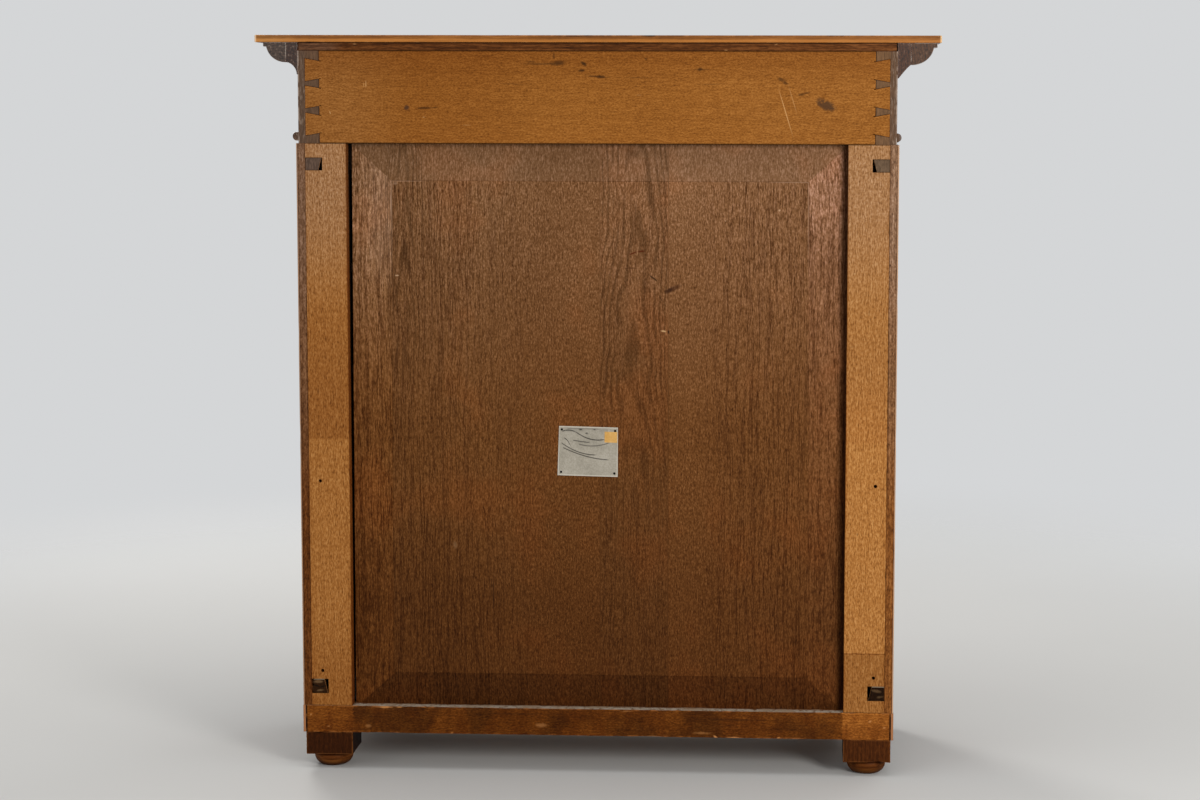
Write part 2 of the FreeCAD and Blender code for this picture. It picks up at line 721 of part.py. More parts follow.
# battens round the top of the hood, and the top board on them
z_batten = ("z_battens", "z_top")
batten_x = "x_hood - batten_setback"
side_batten = box("side_batten", (f"{batten_x} - batten_width", batten_x),
                  ("y_hood + batten_width", "y_back - batten_width"), z_batten)
keep_group("hood_battens", [
    box("back_batten", (f"-({batten_x})", batten_x), ("y_back - batten_width", "y_back"), z_batten),
    box("front_batten", (f"-({batten_x})", batten_x), ("y_hood", "y_hood + batten_width"), z_batten),
    side_batten,
    mirror("side_batten_left", side_batten),
])
x_top = "x_hood + cornice_projection + top_overhang"
keep("top_board", box("top_board", (f"-({x_top})", x_top), ("-(y_back)", "y_back"),
                      ("z_top", "z_top + top_thickness")))


def ovolo_corners(wall, way):
    """Outer strip of the cornice: fillet above a rounded ovolo."""
    return [
        (f"{wall} + {way} * cornice_seam", "z_top"),
        (f"{wall} + {way} * cornice_seam", "z_ovolo_foot"),
        (f"{wall} + {way} * (cornice_seam + ovolo_lip)", "z_ovolo_foot"),
        (f"{wall} + {way} * (cornice_projection - fillet_step)", "z_top - fillet_height",
         "ovolo_radius", way),
        (f"{wall} + {way} * cornice_projection", "z_top - fillet_height"),
        (f"{wall} + {way} * cornice_projection", "z_top"),
    ]


def cove_corners(wall, way):
    """Inner block of the cornice, hollowed below the ovolo."""
    return [
        (wall, "z_top"),
        (wall, "z_cornice"),
        (f"{wall} + {way} * cove_foot", "z_cornice"),
        (f"{wall} + {way} * (cornice_seam - cove_step)", "z_ovolo_foot", "cove_radius", -way),
        (f"{wall} + {way} * cornice_seam", "z_ovolo_foot"),
        (f"{wall} + {way} * cornice_seam", "z_top"),
    ]


def bead_corners(wall, way):
    """Half-round bead near the foot of the hood."""
    return [
        (wall, "z_hood + bead_rise + bead_height"),
        (wall, "z_hood + bead_rise"),
        (f"{wall} + {way} * bead_flat", "z_hood + bead_rise"),
        (f"{wall} + {way} * bead_flat", "z_hood + bead_rise + bead_height", "bead_height * 0.505", way),
    ]


def mitre_wedge(label, reach, corner_side):
    """Three-cornered block that leaves a run of moulding with its mitred end at the right front corner."""
    far = "2 * cornice_projection"
    corner, outer = ("x_hood", "y_hood"), (f"x_hood + {far}", f"y_hood - {far}")
    if corner_side == "side":
        corners = [corner, outer, ("x_hood", f"y_hood - {far}")]
    else:
        corners = [corner, (f"x_hood + {far}", "y_hood"), outer]
    return prism_up(label, corners, reach[0], reach[1])


# cornice and bead, mitred at the front corners
whole_hood = ("z_hood", "z_top")
side_waste = mitre_wedge("side_waste", whole_hood, "side")
front_waste = mitre_wedge("front_waste", whole_hood, "front")
front_waste_left = mirror("front_waste_left", front_waste)
past_corner = "x_hood + cornice_projection"
for name, corners in (("ovolo", ovolo_corners), ("cove", cove_corners)):
    side_run = prism_back_to_front(f"{name}_side_run", corners("x_hood", 1), "y_back",
                                   "y_hood - cornice_projection")
    side_piece = cut(f"cornice_{name}_side", side_run, [side_waste])
    front_run = prism_across(f"{name}_front_run", corners("y_hood", -1), f"-({past_corner})", past_corner)
    front_piece = cut(f"cornice_{name}_front", front_run, [front_waste, front_waste_left])
    keep_group(f"cornice_{name}s", [front_piece, side_piece, mirror(f"cornice_{name}_left", side_piece)])
bead_side_run = prism_back_to_front("bead_side_run", bead_corners("x_hood", 1), "y_back",
                                    "y_hood - bead_projection")
bead_side = cut("bead_side", bead_side_run, [side_waste])
bead_return_run = prism_across("bead_return_run", bead_corners("y_hood", -1), "x_hood_inner",
                               "x_hood + bead_projection")
bead_return = cut("bead_return", bead_return_run, [front_waste])
keep_group("hood_beads", [bead_side, bead_return, mirror("bead_side_left", bead_side),
                          mirror("bead_return_left", bead_return)])

# frieze drawer: the bead along its front is the grip
x_front_edge = "x_hood_inner - drawer_gap"
drawer_front_x = (f"-({x_front_edge})", x_front_edge)
drawer_y = ("y_hood + drawer_front", "y_drawer_back")
drawer_z = ("z_drawer", "z_drawer + drawer_height")
keep("drawer_front", box("drawer_front_board", drawer_front_x, ("y_hood", "y_hood + drawer_front"),
                         ("z_hood + drawer_foot_gap", "z_cornice - drawer_gap")))
keep("drawer_bead", prism_across("drawer_bead", bead_corners("y_hood", -1), drawer_front_x[0],
                                 drawer_front_x[1]))
drawer_side = box("drawer_side", ("x_drawer - drawer_wall", "x_drawer"), drawer_y, drawer_z)
drawer_inside_x = ("-(x_drawer - drawer_wall)", "x_drawer - drawer_wall")
keep_group("drawer_walls", [
    drawer_side,
    mirror("drawer_side_left", drawer_side),
    box("drawer_back", drawer_inside_x, ("y_drawer_back - drawer_wall", "y_drawer_back"), drawer_z),
])
bottom_foot = "z_drawer + drawer_bottom_rise"
keep("drawer_bottom", box("drawer_bottom_board", drawer_inside_x,
                          (drawer_y[0], "y_drawer_back - drawer_wall"),
                          (bottom_foot, f"{bottom_foot} + drawer_bottom")))

# doors: grooved stiles and rails round a flat panel, with a moulding frame and a bead at the meeting edge
door_y = ("y_front", "y_door_back")
door_z = ("z_door_foot", "z_door_head")
door_groove_y = ("y_groove", "y_groove + door_groove")
hinge_stile_blank = box("hinge_stile_blank", ("x_stile_out", "x_door_out"), door_y, door_z)
hinge_groove = box("hinge_groove", ("x_stile_out", "x_stile_out + door_groove_depth"), door_groove_y, door_z)
hinge_stile = cut("hinge_stile", hinge_stile_blank, [hinge_groove] + stile_mortises)
meeting_blank = box("meeting_blank", ("x_door_in", "x_stile_in"), door_y, door_z)
meeting_groove = box("meeting_groove", ("x_stile_in - door_groove_depth", "x_stile_in"), door_groove_y,
                     door_z)
meeting_stile = cut("meeting_stile", meeting_blank, [meeting_groove])
tongue_x = ("x_stile_in - door_groove_depth", "x_stile_out + door_groove_depth")
rail_x = ("x_stile_in", "x_stile_out")
rails = []
for place, rail_z, groove_z in (
        ("foot", ("z_door_foot", "z_door_foot + door_rail_height"),
         ("z_door_foot + door_rail_height - door_groove_depth", "z_door_foot + door_rail_height")),
        ("head", ("z_door_head - door_rail_height", "z_door_head"),
         ("z_door_head - door_rail_height", "z_door_head - door_rail_height + door_groove_depth"))):
    rail_body = box(f"{place}_rail_body", rail_x, door_y, rail_z)
    rail_tongue = box(f"{place}_rail_tongue", tongue_x, door_groove_y, rail_z)
    rail_blank = fuse(f"{place}_rail_blank", [rail_body, rail_tongue])
    rail_slot = box(f"{place}_rail_slot", tongue_x, door_groove_y, groove_z)
    rails.append(cut(f"{place}_rail", rail_blank, [rail_slot]))
panel_reach = "door_groove_depth - door_panel_end_play"
door_panel = box(
    "door_panel", (f"x_stile_in - ({panel_reach})", f"x_stile_out + ({panel_reach})"),
    ("y_groove + door_panel_play", "y_groove + door_groove - door_panel_play"),
    (f"z_door_foot + door_rail_height - ({panel_reach})",
     f"z_door_head - door_rail_height + ({panel_reach})"))
moulding_z = ("z_door_foot + door_rail_height", "z_door_head - door_rail_height")
moulding_y = ("y_groove + door_panel_play - moulding_height", "y_groove + door_panel_play")
moulding_outer = box("moulding_outer", rail_x, moulding_y, moulding_z)
moulding_hole = document.addObject("Part::Wedge", "moulding_hole")
inner_x = ("x_stile_in + moulding_width", "x_stile_out - moulding_width")
inner_z = (f"{moulding_z[0]} + moulding_width", f"{moulding_z[1]} - moulding_width")
bind(moulding_hole, "Xmin", f"{inner_x[0]} - moulding_height")
bind(moulding_hole, "Xmax", f"{inner_x[1]} + moulding_height")
bind(moulding_hole, "Zmin", f"{inner_z[0]} - moulding_height")
bind(moulding_hole, "Zmax", f"{inner_z[1]} + moulding_height")
bind(moulding_hole, "X2min", inner_x[0])
bind(moulding_hole, "X2max", inner_x[1])
bind(moulding_hole, "Z2min", inner_z[0])
bind(moulding_hole, "Z2max", inner_z[1])
bind(moulding_hole, "Ymin", moulding_y[0])
bind(moulding_hole, "Ymax", moulding_y[1])
moulding = cut("panel_moulding", moulding_outer, [moulding_hole])
meeting_bead = prism_up("meeting_bead", [
    ("x_door_in", "y_front"),
    ("x_door_in", "y_front - 1"),
    ("x_door_in + meeting_bead_width", "y_front - 1", "meeting_bead_width * 0.55", 1),
    ("x_door_in + meeting_bead_width", "y_front"),
], door_z[0], door_z[1])
key_hole = level_rod("key_hole", "x_key", ("y_front", "y_door_back"), "z_lock", "key_hole_radius")
key_slot = box("key_slot", ("x_key - bit_thickness", "x_key + bit_thickness"), ("y_front", "y_door_back"),
               ("z_lock - bit_length - key_slot_play", "z_lock"))
locked_stile = cut("locked_stile", meeting_stile, [key_hole, key_slot])
keep_group("right_door_stiles", [hinge_stile, locked_stile])
keep_group("right_door_rails", rails)
keep("right_door_panel", door_panel)
keep_group("right_door_moulding", [moulding, meeting_bead])
keep_group("right_hinge_leaves", door_leaves)
keep_group("left_door_stiles", [mirror("hinge_stile_left", hinge_stile),
                                mirror("meeting_stile_left", meeting_stile)])
keep_group("left_door_rails", [mirror(rail.Name + "_left", rail) for rail in rails])
keep("left_door_panel", mirror("left_door_panel", door_panel))
keep_group("left_door_moulding", [mirror("panel_moulding_left", moulding),
                                  mirror("meeting_bead_left", meeting_bead)])
keep_group("left_hinge_leaves", [mirror(leaf.Name + "_left", leaf) for leaf in door_leaves])

# lock on the inside of the right door, with its bolt, the key and the plate round the keyhole
lock_x = ("x_lock", "x_lock + lock_width")
lock_y = ("y_door_back", "y_door_back + lock_depth")
lock_z = ("z_lock - lock_height / 2", "z_lock + lock_height / 2")
lock_blank = box("lock_blank", lock_x, lock_y, lock_z)
lock_hollow = box(
    "lock_hollow", ("x_lock + lock_wall", "x_lock + lock_width - lock_wall"),
    ("y_door_back + lock_wall", "y_door_back + lock_depth - lock_wall"),
    ("z_lock - lock_height / 2 + lock_wall", "z_lock + lock_height / 2 - lock_wall"))
lock_entry = level_rod("lock_entry", "x_key", ("y_door_back", "y_door_back + lock_wall"), "z_lock",
                       "key_hole_radius")
bolt_y = ("y_lock_bolt", "y_lock_bolt + lock_bolt_width")
bolt_z = ("z_lock_bolt", "z_lock_bolt + lock_bolt_height")
bolt_slot = box("bolt_slot", ("x_lock", "x_lock + lock_wall"),
                (f"{bolt_y[0]} - lock_bolt_play", f"{bolt_y[1]} + lock_bolt_play"),
                (f"{bolt_z[0]} - lock_bolt_play", f"{bolt_z[1]} + lock_bolt_play"))
keep("lock_case", cut("lock_case", lock_blank, [lock_hollow, lock_entry, bolt_slot]))
keep("lock_bolt", box("lock_bolt", ("x_lock", "x_lock + lock_bolt_length"), bolt_y, bolt_z))
y_bow = "y_front - escutcheon_thickness - key_reach"
key_shank = level_rod("key_shank", "x_key", (y_bow, "y_key_tip"), "z_lock", "key_radius")
key_bit = box("key_bit", ("x_key - bit_thickness / 2", "x_key + bit_thickness / 2"),
              ("y_key_tip - bit_width", "y_key_tip"), ("z_lock - bit_length", "z_lock"))
key_bow = document.addObject("Part::Cylinder", "key_bow")
bind(key_bow, "Radius", "key_bow_radius")
bind(key_bow, "Height", "key_bow_thickness")
key_bow.Placement.Rotation = FreeCAD.Rotation(FreeCAD.Vector(0, 1, 0), 90)
move(key_bow, "x_key - key_bow_thickness / 2", f"{y_bow} - key_bow_radius + 2", "z_lock")
keep("door_key", fuse("door_key", [key_shank, key_bit, key_bow]))
plate_y = ("y_front - escutcheon_thickness", "y_front")
plate = fuse("escutcheon_blank", [
    level_rod("plate_head", "x_key", plate_y, "z_lock + escutcheon_spread / 2", "escutcheon_radius"),
    level_rod("plate_foot", "x_key", plate_y, "z_lock - escutcheon_spread", "escutcheon_radius"),
    box("plate_middle", ("x_key - escutcheon_radius", "x_key + escutcheon_radius"), plate_y,
        ("z_lock - escutcheon_spread", "z_lock + escutcheon_spread / 2")),
])
plate_hole = level_rod("plate_hole", "x_key", plate_y, "z_lock", "key_hole_radius")
plate_slot = box("plate_slot", ("x_key - bit_thickness", "x_key + bit_thickness"), plate_y,
                 ("z_lock - bit_length - key_slot_play", "z_lock"))
keep("escutcheon", cut("escutcheon", plate, [plate_hole, plate_slot]))

# slide bolts on the inside of the left door, one at the head and one at the foot
guides = []
for place, way, tip in (("top", 1, "z_lip - slide_clear"), ("bottom", -1, "z_inside + slide_clear")):
    reach = (f"{tip} - slide_length", tip) if way > 0 else (tip, f"{tip} + slide_length")
    slide_x = ("-(x_slide + slide_width / 2)", "-(x_slide - slide_width / 2)")
    slide_y = ("y_slide", "y_slide + slide_depth")
    bar = box(f"{place}_slide_bar", slide_x, slide_y, reach)
    middle = f"({reach[0]} + {reach[1]}) / 2"
    knob = level_rod(f"{place}_slide_knob", "-(x_slide)", (slide_y[1], f"{slide_y[1]} + slide_knob_length"),
                     middle, "slide_knob_radius")
    keep(f"left_{place}_bolt", fuse(f"left_{place}_bolt", [bar, knob]))
    guide_x = ("-(x_slide + guide_width / 2)", "-(x_slide - guide_width / 2)")
    guide_z = (f"{middle} - guide_length / 2", f"{middle} + guide_length / 2")
    loop_y = ("y_door_back + guide_plate", "y_slide + slide_depth + slide_play + guide_wall")
    guide_blank = fuse(f"{place}_guide_blank", [
        box(f"{place}_guide_plate", guide_x, ("y_door_back", "y_door_back + guide_plate"), guide_z),
        box(f"{place}_low_loop", guide_x, loop_y, (guide_z[0], f"{guide_z[0]} + guide_loop")),
        box(f"{place}_high_loop", guide_x, loop_y, (f"{guide_z[1]} - guide_loop", guide_z[1])),
    ])
    guide_way = box(f"{place}_guide_way", slide_hole_x, slide_hole_y, guide_z)
    guides.append(cut(f"{place}_guide", guide_blank, [guide_way]))
keep_group("left_bolt_guides", guides)

document.recompute()

# every piece must be whole before any file is written
faults = [item.Label for item in document.Objects if "Invalid" in item.State or "Error" in item.State]
faults += [node for node, piece in NODES.items() if piece.Shape.isNull() or not piece.Shape.isValid()]
faults += [node for node, piece in NODES.items() if not piece.Shape.Solids]
if faults:
    raise RuntimeError("pieces that did not come out whole: " + ", ".join(faults))
os.makedirs("parts", exist_ok=True)
for node, piece in NODES.items():
    piece.Shape.exportStep(f"parts/{node}.step")
print(len(NODES), "nodes,", sum(len(piece.Shape.Solids) for piece in NODES.values()), "solids")
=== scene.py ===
"""Looks of the linen press, seen from its raw back: worn boards, polished front, metalwork, card and studio.

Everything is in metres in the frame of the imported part: +Z up, the raw back faces +Y, the doors face -Y.
"""

import json
import math
import random

import bmesh
import bpy
from mathutils import Matrix, Vector
from mathutils.noise import noise as lumps


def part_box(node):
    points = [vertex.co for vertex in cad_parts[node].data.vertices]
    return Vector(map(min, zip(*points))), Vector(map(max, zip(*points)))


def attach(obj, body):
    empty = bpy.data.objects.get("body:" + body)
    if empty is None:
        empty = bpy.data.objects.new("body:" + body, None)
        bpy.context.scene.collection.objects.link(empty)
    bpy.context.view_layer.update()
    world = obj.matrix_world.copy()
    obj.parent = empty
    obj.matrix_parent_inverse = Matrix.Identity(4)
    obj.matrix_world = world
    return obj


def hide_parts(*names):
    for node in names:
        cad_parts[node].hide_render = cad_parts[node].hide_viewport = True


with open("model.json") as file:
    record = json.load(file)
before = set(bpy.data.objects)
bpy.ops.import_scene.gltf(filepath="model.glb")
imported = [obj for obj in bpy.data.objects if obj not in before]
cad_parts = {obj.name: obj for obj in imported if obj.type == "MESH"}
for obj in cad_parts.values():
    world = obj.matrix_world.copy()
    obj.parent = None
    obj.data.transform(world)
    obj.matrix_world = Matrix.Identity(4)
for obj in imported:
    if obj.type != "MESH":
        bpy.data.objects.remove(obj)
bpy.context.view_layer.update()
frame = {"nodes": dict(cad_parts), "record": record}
nodes = frame["nodes"]
body_of = {node: body for body, names in frame["record"]["behaviour"]["bodies"].items() for node in names}


# Places

def starts(node, axis):
    """Where a CAD node begins along an axis."""
    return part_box(node)[0]["xyz".index(axis)]


def stops(node, axis):
    """Where a CAD node ends along an axis."""
    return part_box(node)[1]["xyz".index(axis)]


BACK = stops("hood_back", "y")
HOOD_FOOT, HOOD_HEAD = starts("hood_back", "z"), stops("hood_back", "z")
HOOD_IN, HOOD_OUT = starts("hood_side_right", "x"), stops("hood_side_right", "x")
LAP = stops("hood_back", "x")
TOP_FOOT, TOP_END = starts("top_board", "z"), stops("top_board", "x")
POST_IN, POST_OUT = starts("back_post_right", "x"), stops("back_post_right", "x")
SIDE_OUT = stops("side_board_right", "x")
RAIL_HEAD, RAIL_END = stops("base_back_rail", "z"), stops("base_back_rail", "x")
PANEL_FACE = stops("back_panel", "y")
PANEL_EDGE = 0.267
# glued joints between the panel's boards: left and right as the back is looked at
PANEL_JOINTS = (-0.0072, -0.1675)
# fixing holes of the back posts: x and z
HOLE_PLACES = [(side * 0.653, height) for side in (1, -1) for height in (0.6935, 0.238)]
# dovetail pins at the hood's corners: middle and half height at the thin end, and how much they widen
PINS = ((HOOD_FOOT, 0.024), (1.5627, 0.011), (1.6253, 0.011), (HOOD_HEAD, 0.024))
PIN_FLARE = 0.006
TENON_WIDTH = 0.038
BLOCK_WIDTH = 0.112
CARD_TURN = math.radians(1.2)
CARD_MIDDLE = Vector(((starts("back_card", "x") + stops("back_card", "x")) / 2, PANEL_FACE,
                      (starts("back_card", "z") + stops("back_card", "z")) / 2))
CARD_HALF = (0.071, 0.0585)
CARD_TAPER = 0.012
# creases of the card: from and to across it, then height = a + b * across + c * across squared, and how dark
CREASES = [(-0.031, 0.042, 0.0307, -0.295, 6.96, 1.0), (-0.063, -0.026, 0.02, -1.245, -13.3, 1.0),
           (-0.05, 0.03, 0.0535, 0.01, 0.0, 0.4), (-0.037, 0.008, 0.0214, -0.083, 1.0, 0.8),
           (-0.023, 0.054, 0.0133, -0.053, 4.65, 0.7), (-0.064, 0.022, -0.007, -0.124, 4.5, 0.9),
           (-0.06, 0.052, -0.0126, -0.222, 2.05, 0.9), (-0.058, -0.036, -0.1792, -7.096, -60.0, 1.0)]


# Materials

def tone(r, g, b):
    """Linear colour of a colour given as the eye sees it, each part from 0 to 255."""
    return tuple(c / 255 / 12.92 if c <= 10 else ((c / 255 + 0.055) / 1.055) ** 2.4 for c in (r, g, b))


class Value:
    """One number, colour or shader in a node tree, so that masks can be written as sums and products."""

    def __init__(self, graph, socket):
        self.graph, self.socket = graph, socket

    def __add__(self, other):
        return self.graph.math("ADD", self, other)

    def __sub__(self, other):
        return self.graph.math("SUBTRACT", self, other)

    def __rsub__(self, other):
        return self.graph.math("SUBTRACT", other, self)

    def __mul__(self, other):
        return self.graph.math("MULTIPLY", self, other)

    def __truediv__(self, other):
        return self.graph.math("DIVIDE", self, other)

    def __abs__(self):
        return self.graph.math("ABSOLUTE", self)

    __radd__, __rmul__ = __add__, __mul__


class Graph:
    """The node tree of a material or of the world."""

    def __init__(self, owner):
        owner.use_nodes = True
        self.nodes, self.links = owner.node_tree.nodes, owner.node_tree.links
        self.nodes.clear()

    def feed(self, socket, value):
        if isinstance(value, Value):
            self.links.new(value.socket, socket)
        elif isinstance(value, tuple) and len(socket.default_value) == 4:
            socket.default_value = (*value, 1.0)
        else:
            socket.default_value = value

    def add(self, kind, inputs=None, output=0, **settings):
        """A new node with its settings and inputs; gives one of its outputs, where it has any."""
        node = self.nodes.new("ShaderNode" + kind)
        for name, value in settings.items():
            setattr(node, name, value)
        for name, value in (inputs or {}).items():
            self.feed(node.inputs[name], value)
        return Value(self, node.outputs[output]) if node.outputs else None

    def math(self, operation, a, b=0.0):
        return self.add("Math", {0: a, 1: b}, operation=operation)


class Tree(Graph):
    """A material under construction. Places are in the part's frame: every piece sits at the origin."""

    def __init__(self, name):
        self.material = bpy.data.materials.new(name)
        super().__init__(self.material)
        self.place = self.add("TexCoord", output="Object")
        self.x, self.y, self.z = self.split(self.place)
        self.nx, self.ny, self.nz = self.split(self.add("TexCoord", output="Normal"))
        self.colour = self.height = self.rough = None

    def split(self, vector):
        return [self.add("SeparateXYZ", {0: vector}, axis) for axis in "XYZ"]

    def noise(self, at, detail=2.0, rough=0.5, bend=0.0, scale=1.0):
        """Noise at a place, given as a vector or as its three parts."""
        if isinstance(at, tuple):
            at = self.add("CombineXYZ", dict(zip("XYZ", at)))
        return self.add("TexNoise", {"Vector": at, "Scale": scale, "Detail": detail, "Roughness": rough,
                                     "Distortion": bend})

    def ramp(self, value, low, high):
        """0 at low, 1 at high, smooth between; low may be above high."""
        flip = low > high
        return self.add("MapRange", {"Value": value, "From Min": min(low, high), "From Max": max(low, high),
                                     "To Min": float(flip), "To Max": float(not flip)},
                        interpolation_type="SMOOTHSTEP")

    def mix(self, share, a, b, kind="MIX"):
        return self.add("Mix", {0: share, 6: a, 7: b}, 2, data_type="RGBA", blend_type=kind,
                        clamp_factor=True)

    def shades(self, value, colours):
        """A linear colour for each value; colours lists places and the colours there."""
        shade = self.add("ValToRGB", {0: value})
        band = shade.socket.node.color_ramp
        while len(band.elements) < len(colours):
            band.elements.new(0.5)
        for element, (place, colour) in zip(band.elements, colours):
            element.position, element.color = place, (*colour, 1.0)
        return shade

    def tones(self, level, dark, mid, light):
        """Goes from dark through mid to light while level goes from 0 to 1."""
        return self.shades(level, [(0.0, tone(*dark)), (0.5, tone(*mid)), (1.0, tone(*light))])

    def spot(self, middle, size, turn=0.0, soft=0.5, ragged=0.0):
        """1 inside an oval at x, z, 0 outside; turn leans it, in degrees about Y."""
        (x, z), (wide, tall), endless = middle, size, 1000.0
        place = self.add("Mapping", {
            "Vector": self.place, "Location": (x, 0.0, z), "Rotation": (0.0, math.radians(turn), 0.0),
            "Scale": (wide, endless, tall)}, vector_type="TEXTURE")
        reach = self.add("VectorMath", {0: place}, "Value", operation="LENGTH")
        if ragged:
            reach = reach + (self.noise(self.place, 3, 0.6, scale=160.0) - 0.5) * ragged
        return self.ramp(reach, 1.0, soft)

    def stain(self, share, colour, strength=1.0):
        """Covers the colour with another where share is 1."""
        self.colour = self.mix(share * strength, self.colour, tone(*colour))

    def shade(self, share, factor):
        """Multiplies the colour by factor, a grey or a colour, where share is 1."""
        factor = factor if isinstance(factor, tuple) else (factor,) * 3
        self.colour = self.mix(share, self.colour, factor, "MULTIPLY")

    def tint(self, value, low, high, factor):
        """Multiplies the colour by factor where value has passed from low to high."""
        self.shade(self.ramp(value, low, high), factor)

    def left(self):
        """1 on the left half of the back as it is looked at, 0 on the right half."""
        return self.ramp(self.x, -0.1, 0.1)

    def done(self, bump=0.4, depth=0.001, specular=0.3, **more):
        """Joins colour, roughness, bump and more inputs to the shader."""
        inputs = {"Base Color": self.colour, "Roughness": self.rough, "Specular IOR Level": specular}
        inputs.update({name.replace("_", " "): value for name, value in more.items()})
        if self.height is not None:
            inputs["Normal"] = self.add("Bump", {"Strength": bump, "Distance": depth, "Height": self.height})
        self.add("OutputMaterial", {"Surface": self.add("BsdfPrincipled", inputs)})
        return self.material


def wood(name, axes, shades, seed=0.0, sway=0.02, rings=(0.012, 0.3, 0.15, 0.01), ring=0.25,
         streak=(4, 120), grain=1.0, blotch=0.6, pores=(14, 420), pore=0.5, fleck=0.0,
         end=(88, 72, 60), stub=(420, 420), end_ring=0.35, rough=0.6, ways=None):
    """Wood with its grain along the first axis. rings: gap, pith across and into the board, taper along it.
    streak, pores and stub: how fine the fibres, the vessels and the specks of the end grain are, per metre.
    ways turns the axes by place: it gives along, across, through, and the normal's share along the grain."""
    t = Tree(name)
    if ways:
        a, b, c, along = ways(t)
    else:
        a, b, c = (getattr(t, axis) for axis in axes)
        along = getattr(t, "n" + axes[0])
    drift = t.noise((a * 1.3 + seed, b * 5, c * 5), 2) - 0.5
    b_end = b
    b = b + drift * sway
    gap, pith_b, pith_c, taper = rings
    reach = t.math("SQRT", (b - pith_b) * (b - pith_b) + (c - pith_c) * (c - pith_c))
    wobble = t.noise((a * 3 + seed, b * 22, c * 22 + seed), 2)
    turn = t.math("FRACT", (reach + a * taper + wobble * 0.012) / gap)
    late = t.ramp(turn, 0.15, 0.85) - t.ramp(turn, 0.88, 1.0)
    fibre = t.noise((a * streak[0] + seed * 3, b * streak[1], c * streak[1]), 4, 0.62)
    cloud = t.noise((a * 2.2, b * 5 + seed, c * 5), 3, 0.55)
    vessel = t.noise((a * pores[0], b * pores[1] + seed, c * pores[1]), 2, 0.6)
    level = ((fibre - 0.5) * (1.5 * grain) + (vessel - 0.5) * fleck + (cloud - 0.5) * blotch
             - (late - 0.4) * ring + 0.5)
    t.colour = t.tones(level, *shades)
    hollow = t.ramp(vessel, 0.54, 0.72)
    t.shade(hollow, tuple(1 - pore * (1 - f) for f in (0.55, 0.45, 0.36)))
    t.end = t.ramp(abs(along), 0.72, 0.95)
    t.speck = t.noise((a * 3, b_end * stub[0], c * stub[1]), 3, 0.65)
    grey = tone(*end)
    t.colour = t.mix(t.end, t.colour, t.shades((t.speck - 0.5) * 1.6 - (late - 0.5) * end_ring + 0.5, [
        (0.0, tuple(v * 0.4 for v in grey)), (0.5, grey), (1.0, tuple(v * 1.7 for v in grey))]))
    t.height = fibre * 0.5 - hollow * 0.5 - late * 0.12
    t.rough = (cloud - 0.5) * 0.25 + hollow * 0.1 + rough
    t.fibre, t.cloud = fibre, cloud
    return t


def edges(t, low, high, width):
    """1 at the sharp edges of a board between two corners, 0 away from them; x counts alike on both sides."""
    gaps = []
    for value, a, b in zip((abs(t.x) if low[0] > 0 else t.x, t.y, t.z), low, high):
        gaps.append((b - a) / 2 - abs(value - (a + b) / 2))
    a, b, c = gaps
    near = t.math("MAXIMUM", t.math("MINIMUM", a, b), t.math("MINIMUM", t.math("MAXIMUM", a, b), c))
    return t.ramp(near, width, 0.0)


def patches(t, scale, low, high):
    """Uneven patches, 1 where a slow noise is high."""
    return t.ramp(t.noise(t.place, 3, 0.6, scale=scale), low, high)


def marks(t, colour, spots, soft=0.3, ragged=0.0):
    """Small stains, scratches and painted shade on the back: x, z, half width, half height, lean in degrees,
    strength.
    """
    behind = t.ramp(t.ny, 0.2, 0.5)
    for x, z, wide, tall, lean, strength in spots:
        t.stain(t.spot((x, z), (wide, tall), lean, soft, ragged) * behind, colour, strength)


